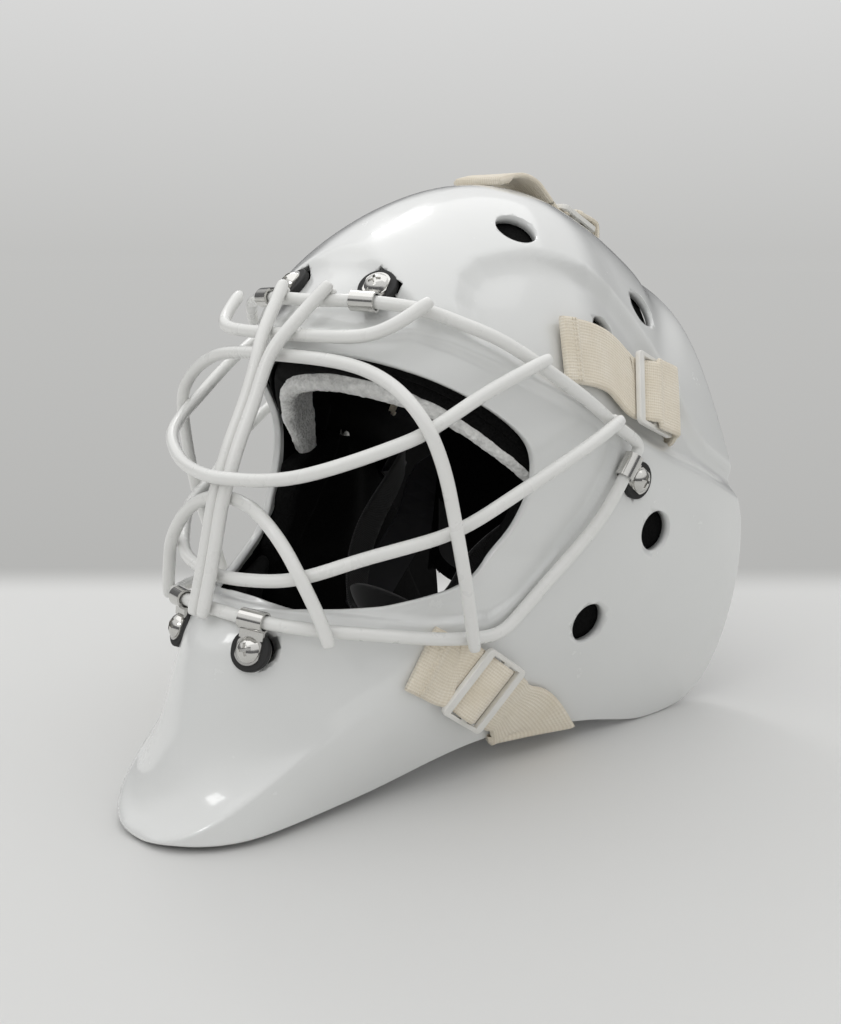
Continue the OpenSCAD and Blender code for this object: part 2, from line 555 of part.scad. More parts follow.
// The side pad starts behind the sweatband's end and backs both lower vents
module side_pad(side) {
    color("dimgray") on_side(side) pad(0.44, 0.7, 0.02, 0.56, pad_depth + 0.3, foam_t, 11, 8, 0.26, 0.15);
}
module side_pad_left() { side_pad(1); }
module side_pad_right() { side_pad(-1); }
module jaw_pad(side) { color("dimgray") on_side(side) pad(0.73, 0.9, 0.1, 0.5, pad_depth, foam_t, 8, 6); }
module jaw_pad_left() { jaw_pad(1); }
module jaw_pad_right() { jaw_pad(-1); }

// Sweatband: its front edge from the middle to the temple, and the ways across it. Foam fills
// the room between it and the shell.
band_edge = [[0, -46, 196.5], [21.5, -43, 194.5], [35.5, -38, 191.5], [48, -30.5, 186.5],
    [59.5, -21, 178.5], [70, -10, 168], [78.5, 3, 154.5], [84, 14.5, 141]];
band_ways = [[0, 0.35, 0.94], [-0.05, 0.35, 0.94], [-0.15, 0.3, 0.95], [-0.2, 0.2, 0.96]];
band_w = 34;
band_end_w = 24;
band_reach = 0.45;
function band_place(u) = place(along(band_edge, abs(u)));
function band_way(u) = unit(along(band_ways, abs(u)));
function band_out(u) =
    unit(cross(band_place(min(abs(u) + 0.02, 1)) - band_place(abs(u) > 0.98 ? 0.96 : abs(u)), band_way(u)));
// A point of the band: the share w across it, and a height off its inner face
function band_point(u, w, height) =
    flip(band_place(u) + band_way(u) * w * (band_w + (band_end_w - band_w) * ease(abs(u))) + band_out(u) * height,
        u < 0 ? -1 : 1);
band_steps = 13;
band_rows = 4;
foam_rows = 3;
foam_share = 0.84;
function band_roll(w) = 1 - 0.4 * pow(abs(2 * w - 1), 3);
module sweatband() {
    color("gainsboro") rings_solid([for (i = [-band_steps : band_steps]) let (u = i / band_steps) concat(
        [for (j = [0 : band_rows]) band_point(u, j / band_rows, terry_t * band_roll(j / band_rows))],
        [for (j = [band_rows : -1 : 0]) band_point(u, j / band_rows, terry_t * (1 - band_roll(j / band_rows)))])]);
}
module forehead_pad() {
    color("dimgray") rings_solid([for (i = [-band_steps : band_steps]) let (u = foam_share * i / band_steps) concat(
        [for (j = [0 : foam_rows]) inside(u * band_reach, 0.018 + 0.115 * j / foam_rows, pad_depth + 0.8)],
        [for (j = [foam_rows : -1 : 0]) band_point(u, j / foam_rows, terry_t + soft_gap)])]);
}

// Chin sling: a bowl whose axis points forward and down, on two straps from the ear snaps
cup_r = 34;
cup_t = 3;
cup_spread = 52;
cup_at = [0, 14, 84];
cup_axis = unit([0, -0.62, -0.78]);
module chin_cup() {
    color("dimgray") stand(place(cup_at), [1, 0, 0], -cup_axis) rotate_extrude($fn = 48) difference() {
        intersection() {
            circle(cup_r, $fn = 96);
            polygon([[0, 0], [0, -2 * cup_r], [2 * cup_r * sin(cup_spread), -2 * cup_r * cos(cup_spread)]]);
        }
        circle(cup_r - cup_t, $fn = 96);
    }
}
sling_across = cross(cup_axis, [1, 0, 0]);
function cup_stop(a) =
    [place(cup_at) + (cup_axis * cos(a) + [1, 0, 0] * sin(a)) * (cup_r + strap_t / 2 + 0.3), sling_across];
snap_at = [108, 116];
snap_t = 2.4;
snap_lift = 0.8;
sling_points = [[[85, 100, 126], [0, 0.1, 1]], [[67, 76, 121], [0, 0, 1]], [[51, 45, 111], [0, -0.2, 1]],
    [[41, 21, 97], [0, -0.6, 0.8]], [[36, 9, 80], [0, -0.75, 0.65]]];
snap_v = ball(snap_at);
snap_way = unit(place([85, 100, 126]) - raised(snap_v, -wall));
snap_inward = -ball_normal(snap_v);
snap_along = unit(snap_way - snap_inward * (snap_way * snap_inward));
module snap_frame() { stand(raised(snap_v, -wall), snap_along, snap_inward) children(); }
function snap_stop(u) =
    [raised(snap_v, -wall) + snap_along * u + snap_inward * (snap_lift + snap_t + strap_t / 2 + 0.7),
        cross(snap_inward, snap_along)];
sling_stops = run(concat([snap_stop(-9), snap_stop(0), snap_stop(9)],
    [for (s = sling_points) [place(s[0]), unit(s[1])]], [cup_stop(50), cup_stop(34), cup_stop(18)]), 22);
module chin_strap(side) { color("dimgray") on_side(side) ribbon(sling_stops, sling_w); }
module chin_strap_left() { chin_strap(1); }
module chin_strap_right() { chin_strap(-1); }
module chin_snaps() {
    color("silver") both_sides() snap_frame() translate([0, 0, snap_lift]) cylinder(h = snap_t, r = 6, $fn = 32);
}

// Backplate: a bent plate inside the rear opening, held by the straps' inner runs
plate_axis = [0, 70, 126];
plate_spread = 56;
plate_corner = 22;
module plate_outline(grow) {
    w = plate_r * sin(plate_spread) - 2 + grow;
    h = plate_h / 2 + grow;
    square([2 * w, 2 * (h - plate_corner)], center = true);
    square([2 * (w - plate_corner), 2 * h], center = true);
    for (x = [-1, 1]) for (z = [-1, 1])
        translate([x * (w - plate_corner), z * (h - plate_corner)]) circle(plate_corner, $fn = 40);
}
module plate_band(inner, thick, grow) {
    translate(place(plate_axis)) intersection() {
        rotate([0, 0, 90 - plate_spread - 10]) translate([0, 0, -plate_h])
            rotate_extrude(angle = 2 * plate_spread + 20, $fn = 96)
                translate([inner, 0]) square([thick, 2 * plate_h]);
        rotate([-90, 0, 0]) linear_extrude(2 * plate_r) plate_outline(grow);
    }
}
module backplate() {
    color("dimgray") difference() {
        plate_band(plate_r - plate_t, plate_t, 0);
        rivet_holes();
    }
}
plate_foam = 7;
module backplate_pad() {
    color("dimgray") plate_band(plate_r - plate_t - soft_gap - plate_foam, plate_foam, -8);
}
// Stops on the plate's outside: angle from the rear and height over its middle
function plate_stop(a, z, across, lift = 0.3) =
    let (r = plate_r + strap_t / 2 + lift) [place(plate_axis) + [sin(a) * r, cos(a) * r, z], across];

// An inner run starts a little beyond its outer strap's end, in the same direction
function carry_on(stops, u) =
    let (n = len(stops) - 1, d = unit(stops[n][0] - stops[n - 1][0]))
    [stops[n][0] + d * u, stops[n][1]];
upper_inner = concat([carry_on(upper_stops, 0.5), carry_on(upper_stops, 3)], run(
    [carry_on(upper_stops, 5), plate_stop(60, 38, unit([-0.15, 0.15, 1]), 3.5), plate_stop(54, 39, [0, 0, 1], 1.5),
    plate_stop(48, 40, [0, 0, 1], 0.6), plate_stop(40, 42, [0, 0, 1])], 12));
lower_inner = concat([[carry_on(lower_stops, 0.5)[0], rim_back, rim_slant]],
    run([[place([78, 50, 34]), unit([0, -0.5, 0.8])], [place([79, 84, 66]), unit([0, -0.4, 0.8])],
    [place([79, 103, 84]), unit([0, 0, 1])], plate_stop(59, -19, [0, 0, 1], 2),
    plate_stop(50, -13, [0, 0, 1], 0.6), plate_stop(40, -11, [0, 0, 1])], 16));
top_inner = concat([carry_on(top_stops, 0.5), carry_on(top_stops, 3)], run(
    [carry_on(top_stops, 5), [place([0, 153, 224]), [1, 0, 0]], plate_stop(0, plate_h / 2 + 2, [1, 0, 0], 1.8),
    plate_stop(0, plate_h / 2 - 12, [1, 0, 0], 0.6), plate_stop(0, plate_h / 2 - 26, [1, 0, 0])], 12));

// Rivets: angle from the rear and height over the plate's middle
rivets = [[43, 41], [43, -11]];
rivet_r = 2.2;
rivet_cap_r = 5;
rivet_cap_t = 1.2;
rivet_reach = 10 * plate_t;
top_rivet_z = plate_h / 2 - 18;
module at_rivet(a, z) {
    translate(place(plate_axis) + [0, 0, z]) rotate([0, 0, -a]) translate([0, plate_r, 0])
        rotate([-90, 0, 0]) children();
}
module rivet_sites() {
    both_sides() for (r = rivets) at_rivet(r[0], r[1]) children();
    at_rivet(0, top_rivet_z) children();
}
rivet_head = strap_t + 0.7;
module rivet_holes() {
    rivet_sites() translate([0, 0, -rivet_reach]) cylinder(h = 2 * rivet_reach, r = rivet_r + 0.2, $fn = 24);
}
module backplate_rivets() {
    color("silver") rivet_sites() {
        translate([0, 0, -plate_t - 0.2]) cylinder(h = plate_t + 0.2 + rivet_head, r = rivet_r, $fn = 24);
        translate([0, 0, rivet_head]) cylinder(h = rivet_cap_t, r = rivet_cap_r, $fn = 32);
    }
}
module inner_strap(stops, side) {
    color("dimgray") difference() {
        on_side(side) ribbon(stops);
        rivet_holes();
    }
}
module top_strap_inner() { inner_strap(top_inner, 1); }
module upper_strap_inner_left() { inner_strap(upper_inner, 1); }
module upper_strap_inner_right() { inner_strap(upper_inner, -1); }
module lower_strap_inner_left() { inner_strap(lower_inner, 1); }
module lower_strap_inner_right() { inner_strap(lower_inner, -1); }

shell();
perimeter_wire();
forehead_wire();
centre_bar_left();
centre_bar_right();
eye_arch_wire();
upper_cross_wire();
lower_cross_wire();
mouth_arch_wire();
forehead_clips();
chin_clips();
side_clips();
clip_washers();
clip_screws();
clip_nuts();
forehead_pad();
crown_pad();
side_pad_left();
side_pad_right();
jaw_pad_left();
jaw_pad_right();
sweatband();
chin_cup();
chin_strap_left();
chin_strap_right();
chin_snaps();
top_strap();
upper_strap_left();
upper_strap_right();
lower_strap_left();
lower_strap_right();
top_slide();
upper_slide_left();
upper_slide_right();
lower_slide_left();
lower_slide_right();
top_strap_inner();
upper_strap_inner_left();
upper_strap_inner_right();
lower_strap_inner_left();
lower_strap_inner_right();
backplate();
backplate_pad();
backplate_rivets();
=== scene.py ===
import bisect
import json
import math

import bmesh
import bpy
from mathutils import Matrix, Vector, kdtree, noise

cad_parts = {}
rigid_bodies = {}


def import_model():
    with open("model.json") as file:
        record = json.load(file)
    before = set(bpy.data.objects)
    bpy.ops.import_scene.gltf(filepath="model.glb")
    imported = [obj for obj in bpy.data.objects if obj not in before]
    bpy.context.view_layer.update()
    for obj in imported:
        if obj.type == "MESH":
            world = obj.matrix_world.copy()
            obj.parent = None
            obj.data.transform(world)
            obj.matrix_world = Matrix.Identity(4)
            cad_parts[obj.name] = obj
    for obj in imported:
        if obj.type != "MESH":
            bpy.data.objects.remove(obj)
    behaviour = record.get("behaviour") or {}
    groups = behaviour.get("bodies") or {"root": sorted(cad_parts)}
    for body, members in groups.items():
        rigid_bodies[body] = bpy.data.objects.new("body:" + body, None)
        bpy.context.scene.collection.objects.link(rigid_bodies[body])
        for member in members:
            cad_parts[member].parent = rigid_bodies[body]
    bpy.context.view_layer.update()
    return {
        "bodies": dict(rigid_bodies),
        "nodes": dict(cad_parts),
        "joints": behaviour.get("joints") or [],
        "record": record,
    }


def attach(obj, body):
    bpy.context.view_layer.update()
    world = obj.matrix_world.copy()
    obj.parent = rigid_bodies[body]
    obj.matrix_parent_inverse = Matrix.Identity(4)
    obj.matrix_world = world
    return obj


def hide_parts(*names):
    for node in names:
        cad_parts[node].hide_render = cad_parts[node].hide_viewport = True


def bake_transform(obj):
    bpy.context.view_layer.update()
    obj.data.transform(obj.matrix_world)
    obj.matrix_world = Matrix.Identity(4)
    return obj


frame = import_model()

# Lengths are millimetres while a piece is drawn, and metres in Blender.
MM = 0.001


scene = bpy.context.scene
NODES = frame["nodes"]

# Camera
CAMERA_AZIMUTH = math.radians(41.744)
CAMERA_PITCH = math.radians(12.777)
CAMERA_PLACE = Vector((396.7, -421.8, 251.2))
FOCAL_PIXELS = 1150
FRAME_HEIGHT = 1024
SENSOR = 36

camera = bpy.data.objects.new("camera", bpy.data.cameras.new("camera"))
scene.collection.objects.link(camera)
camera.data.sensor_width = SENSOR
camera.data.lens = FOCAL_PIXELS * SENSOR / FRAME_HEIGHT
camera.data.clip_start = 0.01
camera.data.clip_end = 60
camera.location = CAMERA_PLACE * MM
camera.rotation_euler = (math.pi / 2 - CAMERA_PITCH, 0, CAMERA_AZIMUTH)
scene.camera = camera


# Finishes
# A ribbon's UV map holds millimetres over this number: x across it, and y along it.
UV_SCALE = 100


class Signal:
    """A shader socket that Python's operators act on."""

    def __init__(self, finish, socket):
        self.finish = finish
        self.socket = socket

    def maths(self, operation, *others):
        return self.finish.node("Math", {"operation": operation}, self, *others)

    def __add__(self, other):
        return self.maths("ADD", other)

    def __radd__(self, other):
        return self.maths("ADD", other)

    def __mul__(self, other):
        return self.maths("MULTIPLY", other)

    def __rmul__(self, other):
        return self.maths("MULTIPLY", other)

    def __sub__(self, other):
        return self.maths("SUBTRACT", other)

    def __rsub__(self, other):
        return self.finish.node("Math", {"operation": "SUBTRACT"}, other, self)

    def __pow__(self, other):
        return self.maths("POWER", other)

    def most(self, other):
        return self.maths("MAXIMUM", other)

    def threads(self, pitch):
        """A wave along a ribbon's UV map, with a crest at every pitch in millimetres."""
        return (self * (2 * math.pi * UV_SCALE / pitch)).maths("SINE")


class Finish:
    """One material: its tree, its shader, and the calls that add nodes to it."""

    def __init__(self, name, roughness=0.5, metallic=0.0, coat=0.0, coat_roughness=0.05, sheen=0.0,
                 specular=0.5):
        self.material = bpy.data.materials.new(name)
        self.material.use_nodes = True
        self.tree = self.material.node_tree
        self.shader = self.tree.nodes["Principled BSDF"]
        constants = {"Roughness": roughness, "Metallic": metallic, "Coat Weight": coat,
                     "Coat Roughness": coat_roughness, "Sheen Weight": sheen,
                     "Specular IOR Level": specular}
        for socket, value in constants.items():
            self.shader.inputs[socket].default_value = value
        coordinates = self.tree.nodes.new("ShaderNodeTexCoord")
        self.place = Signal(self, coordinates.outputs["Object"])
        self.cloth = Signal(self, coordinates.outputs["UV"])

    def node(self, kind, settings, *inputs):
        """A node of this kind: its settings are set first, and then the values or links of its sockets."""
        node = self.tree.nodes.new("ShaderNode" + kind)
        for name, value in settings.items():
            if name == "stops":
                while len(node.color_ramp.elements) < len(value):
                    node.color_ramp.elements.new(0.5)
                for element, (position, colour) in zip(node.color_ramp.elements, value):
                    element.position = position
                    element.color = (*colour, 1)
            else:
                setattr(node, name, value)
        for index, value in enumerate(inputs):
            if isinstance(value, Signal):
                self.tree.links.new(value.socket, node.inputs[index])
            elif value is not None:
                node.inputs[index].default_value = value
        return Signal(self, node.outputs[0])

    def grain(self, scale, detail=2.0, roughness=0.5, at=None):
        """Noise from 0 to 1. The scale is in features per metre."""
        return self.node("TexNoise", {}, at or self.place, None, scale, detail, roughness)

    def cells(self, scale):
        return self.node("TexVoronoi", {}, self.place, None, scale)

    def ramp(self, value, *stops):
        return self.node("ValToRGB", {"stops": stops}, value)

    def mix(self, share, first, second):
        node = self.tree.nodes.new("ShaderNodeMix")
        node.data_type = "RGBA"
        for index, value in ((0, share), (6, first), (7, second)):
            if isinstance(value, Signal):
                self.tree.links.new(value.socket, node.inputs[index])
            else:
                node.inputs[index].default_value = value if index == 0 else (*value, 1)
        return Signal(self, node.outputs[2])

    def parts(self, vector):
        """The x, y and z of a vector."""
        node = self.tree.nodes.new("ShaderNodeSeparateXYZ")
        self.tree.links.new(vector.socket, node.inputs[0])
        return [Signal(self, output) for output in node.outputs]

    def bump(self, height, distance, strength=1.0, normal=None):
        """The height runs from 0 to 1, and the distance is its depth in millimetres."""
        node = self.tree.nodes.new("ShaderNodeBump")
        node.inputs["Strength"].default_value = strength
        node.inputs["Distance"].default_value = distance * MM
        self.tree.links.new(height.socket, node.inputs["Height"])
        if normal:
            self.tree.links.new(normal.socket, node.inputs["Normal"])
        return Signal(self, node.outputs[0])

    def wear(self, **sockets):
        """Colour, roughness and normal that vary over the surface."""
        names = {"colour": "Base Color", "roughness": "Roughness", "normal": "Normal"}
        for name, value in sockets.items():
            self.tree.links.new(value.socket, self.shader.inputs[names[name]])
        return self


def lacquered_shell():
    f = Finish("white_lacquer", roughness=0.22, coat=0.7, coat_roughness=0.035)
    cloud = f.grain(14, 3)
    speck = f.grain(900, 2)
    scuff = f.ramp(f.grain(60, 5, 0.7), (0.35, (0.16, 0.16, 0.16)), (0.75, (0.3, 0.3, 0.3)))
    colour = f.mix(cloud, (0.69, 0.70, 0.69), (0.76, 0.765, 0.755))
    peel = f.bump(f.grain(260, 2), 0.02, 0.25)
    return f.wear(colour=colour, roughness=scuff, normal=f.bump(speck, 0.006, 0.2, peel))


def coated_wire():
    f = Finish("powder_coat", roughness=0.32, coat=0.25, coat_roughness=0.12)
    colour = f.mix(f.grain(45, 4), (0.74, 0.74, 0.72), (0.80, 0.80, 0.78))
    rough = f.ramp(f.grain(120, 4), (0.3, (0.24, 0.24, 0.24)), (0.8, (0.42, 0.42, 0.42)))
    return f.wear(colour=colour, roughness=rough, normal=f.bump(f.grain(1300, 3), 0.03, 0.35))


def polished_steel():
    f = Finish("stainless_steel", roughness=0.22, metallic=1.0)
    smear = f.grain(90, 4)
    rough = f.ramp(smear, (0.3, (0.14, 0.14, 0.14)), (0.8, (0.36, 0.36, 0.36)))
    colour = f.mix(smear, (0.44, 0.42, 0.39), (0.60, 0.58, 0.545))
    rolled = f.grain(2600, 1, 0.5, f.node("Mapping", {}, f.place, None, None, (0.06, 1, 1)))
    return f.wear(colour=colour, roughness=rough, normal=f.bump(rolled, 0.01, 0.3))


def black_rubber():
    f = Finish("black_rubber", roughness=0.55)
    dust = f.ramp(f.grain(300, 4), (0.4, (0.008, 0.008, 0.008)), (0.9, (0.035, 0.034, 0.033)))
    return f.wear(colour=dust, normal=f.bump(f.grain(1500, 2), 0.05, 0.4))


def black_foam():
    f = Finish("black_foam", roughness=0.95, specular=0.12)
    cells = f.cells(900)
    # The pores are painted darker where the cells' bump is low: painted shade in the pores.
    colour = f.ramp(cells, (0.1, (0.001, 0.001, 0.001)), (0.7, (0.005, 0.005, 0.005)))
    return f.wear(colour=colour, normal=f.bump(cells, 0.35, 0.6))


def fleecy_terry():
    f = Finish("terry_cloth", roughness=0.95, sheen=0.35)
    curl = f.cells(620)
    soft = f.grain(240, 4, 0.6)
    # The pile is painted grey where its bump is low and near white where it is high: painted shade in the
    # pile's hollows, over tone that varies at random.
    share = f.ramp(soft, (0.3, (0, 0, 0)), (0.7, (1, 1, 1)))
    colour = f.mix(share, (0.60, 0.60, 0.585), (0.92, 0.92, 0.90))
    return f.wear(colour=colour, normal=f.bump(curl, 0.8, 0.7, f.bump(soft, 0.9, 0.6)))


def knitted_elastic():
    """Ribs along the strap and wefts across it, under a fuzz."""
    f = Finish("knitted_elastic", roughness=0.88, sheen=0.25)
    x, y = f.parts(f.cloth)[:2]
    wobble = f.grain(9, 2, 0.5, f.cloth)
    rib = (x + wobble * 0.004).threads(1.45) * 0.5 + 0.5
    weft = (y + wobble * 0.003).threads(1.1) * 0.5 + 0.5
    knit = rib * 0.65 + weft * 0.35
    fuzz = f.grain(1500, 3, 0.6)
    stain = f.ramp(f.grain(55, 4, 0.6), (0.3, (0.80, 0.73, 0.60)), (0.7, (0.92, 0.87, 0.77)))
    # The knit's and fuzz's low places are painted a darker brown: painted shade in their hollows. The stain
    # varies at random.
    colour = f.mix(knit * 0.6 + fuzz * 0.4, (0.68, 0.60, 0.47), stain)
    return f.wear(colour=colour, normal=f.bump(knit, 0.4, 0.6, f.bump(fuzz, 0.35, 0.6)))


def moulded_nylon():
    f = Finish("milky_nylon", roughness=0.4)
    colour = f.mix(f.grain(80, 3), (0.72, 0.71, 0.67), (0.82, 0.81, 0.78))
    return f.wear(colour=colour, normal=f.bump(f.grain(900, 3), 0.05, 0.3))


def woven_sling():
    f = Finish("sling_webbing", roughness=0.9, sheen=0.2)
    x, y = f.parts(f.cloth)[:2]
    web = (x.threads(1.2) * y.threads(1.6)) * 0.5 + 0.5
    # The weave is painted darker where its bump is low: painted shade between the threads.
    colour = f.mix(web, (0.003, 0.003, 0.003), (0.014, 0.014, 0.015))
    return f.wear(colour=colour, normal=f.bump(web, 0.3, 0.7))


def dark_plastic():
    f = Finish("dark_plastic", roughness=0.42)
    colour = f.mix(f.grain(70, 3), (0.018, 0.018, 0.02), (0.035, 0.035, 0.037))
    return f.wear(colour=colour, normal=f.bump(f.grain(1100, 2), 0.06, 0.4))


def dark_lining():
    """The shell's black inside."""
    f = Finish("dark_lining", roughness=0.85, specular=0.12)
    colour = f.ramp(f.grain(260, 4), (0.3, (0.001, 0.001, 0.001)), (0.8, (0.004, 0.004, 0.004)))
    return f.wear(colour=colour, normal=f.bump(f.grain(700, 3), 0.1, 0.4))


def sewing_thread():
    f = Finish("sewing_thread", roughness=0.8, sheen=0.2)
    twist = f.grain(2200, 2)
    # The thread is painted darker where the twist's bump is low: painted shade in its grooves.
    return f.wear(colour=f.mix(twist, (0.62, 0.55, 0.43), (0.85, 0.80, 0.70)),
                  normal=f.bump(twist, 0.1, 0.5))


FINISHES = {"shell_white": lacquered_shell(), "wire_coat": coated_wire(), "stainless": polished_steel(),
            "black_rubber": black_rubber(), "black_foam": black_foam(), "terry": fleecy_terry(),
            "elastic": knitted_elastic(), "nylon": moulded_nylon(), "sling": woven_sling(),
            "plate_dark": dark_plastic(), "dark_lining": dark_lining(), "thread": sewing_thread()}

# The mask's skin, drawn as in the CAD model: a side view and half widths round a ball
MASK_SIZE = (232, 328, 285)
DRAWN_SIZE = (231.3, 328, 284.8)
DRAWN_SHIFT = (0, 2, -0.22)
WALL = 4.5
VENT_RADIUS = 10.5
PANEL_SINK = 5
POCKET_SINK = 5
LEDGE_STEP = 2.5
EAR = (20, 110)
MIDLINE = [(-166, 3), (-158, 11), (-151, 21), (-144, 36), (-138, 54), (-132, 72), (-127, 84),
           (-117, 95), (-103, 101), (-98, 120), (-97, 150), (-88, 180), (-72, 208), (-63, 221),
           (-55, 231), (-43, 243), (-27, 255), (-8, 266), (15, 276), (40, 283), (62, 285), (88, 282),
           (120, 271), (147, 256), (162, 244), (190, 232), (225, 212), (255, 180), (270, 130),
           (260, 60), (215, -20), (140, -80), (40, -110), (-60, -100), (-130, -60), (-160, -25),
           (-166, 3)]
SIDE_WIDTH = [(88, 66, 66, 81, 113, 148), (54, 71, 80, 90, 114, 144), (43, 53, 85, 97, 114, 137),
              (41, 63, 97, 109, 114, 127), (52, 80, 114, 117, 111, 130), (70, 96, 114, 122, 123, 124)]
WIDTH_FROM = -160
WIDTH_TO = 160
WIDTH_TOP = 300
RIDGE_LINE = [(-27, 220), (-25, 231), (-17, 242), (-5, 249), (10, 252), (27, 253), (45, 249), (63, 243),
              (80, 232), (94, 217), (105, 201), (113, 184), (119, 166), (130, 151), (160, 132)]
PANEL_LINE = [(170, 110), (124, 134), (98, 145), (70, 158), (36, 173), (0, 193), (-30, 216)]
POCKET_LINE = [(-36, 222), (-36, 236), (-32, 247), (-27, 254), (-18, 261), (-16, 280)]
LEDGE_LINE = [(-60, 216), (-44, 218), (-32, 212), (-16, 202), (-3, 195), (36, 175), (52, 162), (46, 148),
              (32, 126), (10, 105), (-8, 90), (-22, 84), (-50, 85), (-74, 90), (-94, 94), (-115, 98)]
EDGE_ROUND = 1.8
PANEL_BLEND = 10
PANEL_FOOT = 10
POCKET_BLEND = 8
POCKET_LOW = 214
POCKET_LOW_FADE = 14
POCKET_BACK = 8
POCKET_BACK_FADE = 12
LEDGE_BLEND = 5
OPENING_EDGE = [(-71, 209), (-64, 207.5), (-54, 203), (-39, 194), (-21, 181), (-8, 168), (-3.5, 157),
                (-4, 144), (-9, 131), (-17.5, 119), (-33, 103.5), (-61, 97), (-77, 96.5), (-92, 98),
                (-103, 101)]
REAR_RIM = [(162, 244), (161, 232), (157, 205), (153, 178), (152, 150), (156, 122), (160, 104),
            (158, 60), (147, 10), (106, 0.2), (57, 9), (-8, 15), (-72, 6), (-128, 3.5), (-166, 3)]


def points(table):
    return [Vector(row) for row in table]


def along(line, share):
    """A smooth curve through the points of a line, at a share of it from 0 to 1."""
    last = len(line) - 1
    u = min(max(share, 0), 1) * last
    i = min(int(u), last - 1)
    t = u - i
    a = line[i - 1] if i > 0 else 2 * line[0] - line[1]
    d = line[i + 2] if i + 2 <= last else 2 * line[last] - line[last - 1]
    b, c = line[i], line[i + 1]
    square = 2 * a - 5 * b + 4 * c - d
    cube = 3 * b - a - 3 * c + d
    return 0.5 * (2 * b + (c - a) * t + square * t * t + cube * t ** 3)


def run(line, count):
    return [along(line, k / count) for k in range(count + 1)]


def ease(t):
    u = min(max(t, 0), 1)
    return u * u * (3 - 2 * u)


def fall(distance, foot):
    """A moulded edge: crisp but rounded at the top, and easing out at its foot."""
    d = min(max(distance, 0), foot)
    if d < EDGE_ROUND:
        return d * d / (EDGE_ROUND * foot)
    past = d - EDGE_ROUND
    return (EDGE_ROUND + 2 * past - past * past / (foot - EDGE_ROUND)) / foot


def place(x, y, z):
    """A drawn point at the mask's size."""
    drawn = [c + s for c, s in zip((x, y, z), DRAWN_SHIFT)]
    return Vector([c * m / d for c, m, d in zip(drawn, MASK_SIZE, DRAWN_SIZE)])


def front_angle(y, z):
    angle = math.degrees(math.atan2(z - EAR[1], EAR[0] - y))
    return angle + 360 if angle < LIP_ANGLE else angle


# Angles round the ear start just before the chin's lip. Until that is known, they start at -180 degrees.
LIP_ANGLE = -180
LIP_ANGLE = front_angle(*MIDLINE[0]) - 0.001
REACH_STEPS = 8
REACH = sorted((front_angle(c.x, c.y), (c - Vector(EAR)).length)
               for c in run(points(MIDLINE), REACH_STEPS * (len(MIDLINE) - 1) - 1))
REACH.append((REACH[0][0] + 360, REACH[0][1]))
REACH_ANGLES = [angle for angle, distance in REACH]


def reach(angle):
    i = min(max(bisect.bisect(REACH_ANGLES, angle), 1), len(REACH) - 1)
    (a, low), (b, high) = REACH[i - 1], REACH[i]
    share = min(max((angle - a) / (b - a), 0), 1) if b > a else 0
    return low + (high - low) * share


CALM_SPREAD = 8
CALM_STEP = 2
CALM_FROM = 0.5
CALM_TO = 0.85
CALM_ROUNDS = 8


def reach_at(angle, q):
    """The reach, with the chin's step smoothed out away from the middle, where q is 1."""
    share = ease((q - CALM_FROM) / (CALM_TO - CALM_FROM))
    if share == 1:
        return reach(angle)
    spread = range(-CALM_SPREAD, CALM_SPREAD + 1, CALM_STEP)
    turns = [LIP_ANGLE + (angle + k - LIP_ANGLE) % 360 for k in spread]
    calm = sum(reach(turn) for turn in turns) / len(turns)
    return calm + (reach(angle) - calm) * share


def full_width(y, z):
    rows = [along(row, (y - WIDTH_FROM) / (WIDTH_TO - WIDTH_FROM)) for row in SIDE_WIDTH]
    return along(rows, z / WIDTH_TOP)


def ball(y, z):
    """The direction on a round ball that stands for a side-view point. It settles in a few rounds."""
    angle = front_angle(y, z)
    distance = math.hypot(y - EAR[0], z - EAR[1])
    q = min(1, distance / reach(angle))
    for settling in range(CALM_ROUNDS):
        q = min(1, distance / reach_at(angle, q))
    a = math.radians(angle)
    return Vector((math.sqrt(1 - q * q), -q * math.cos(a), q * math.sin(a)))


def crest(y, z):
    a = math.radians(front_angle(y, z))
    return Vector((0, -math.cos(a), math.sin(a)))


def side_view(v):
    angle = front_angle(EAR[0] + v.y, EAR[1] + v.z)
    q = math.hypot(v.y, v.z)
    q *= reach_at(angle, q)
    a = math.radians(angle)
    return Vector((EAR[0] - q * math.cos(a), EAR[1] + q * math.sin(a)))


def smooth_point(v):
    c = side_view(v)
    return place(full_width(c.x, c.y) * v.x, c.x, c.y)


NORMAL_STEP = 0.012
NORMAL_ASIDE = Vector((0, 0.6, 0.8))


def ball_normal(v):
    """The smooth skin's normal, from four points a small step round."""
    a = v.cross(NORMAL_ASIDE).normalized() * NORMAL_STEP
    b = v.cross(a)
    first = smooth_point((v + a).normalized()) - smooth_point((v - a).normalized())
    second = smooth_point((v + b).normalized()) - smooth_point((v - b).normalized())
    return first.cross(second).normalized()


class Line:
    """A line on the side view, and the distance from it: positive on its right."""

    def __init__(self, table):
        p = points(table)
        self.pieces = [(a, b - a, (b - a).length_squared) for a, b in zip(p, p[1:])]

    def right(self, c):
        best, side = 1e9, 1
        for a, d, square in self.pieces:
            w = c - a
            t = min(max(w.dot(d) / square, 0), 1)
            gap = (w - d * t).length
            if gap < best - 1e-9:
                best, side = gap, 1 if d.x * w.y - d.y * w.x < 0 else -1
        return best * side


ridge, panel, pocket, ledge = (Line(t) for t in (RIDGE_LINE, PANEL_LINE, POCKET_LINE, LEDGE_LINE))


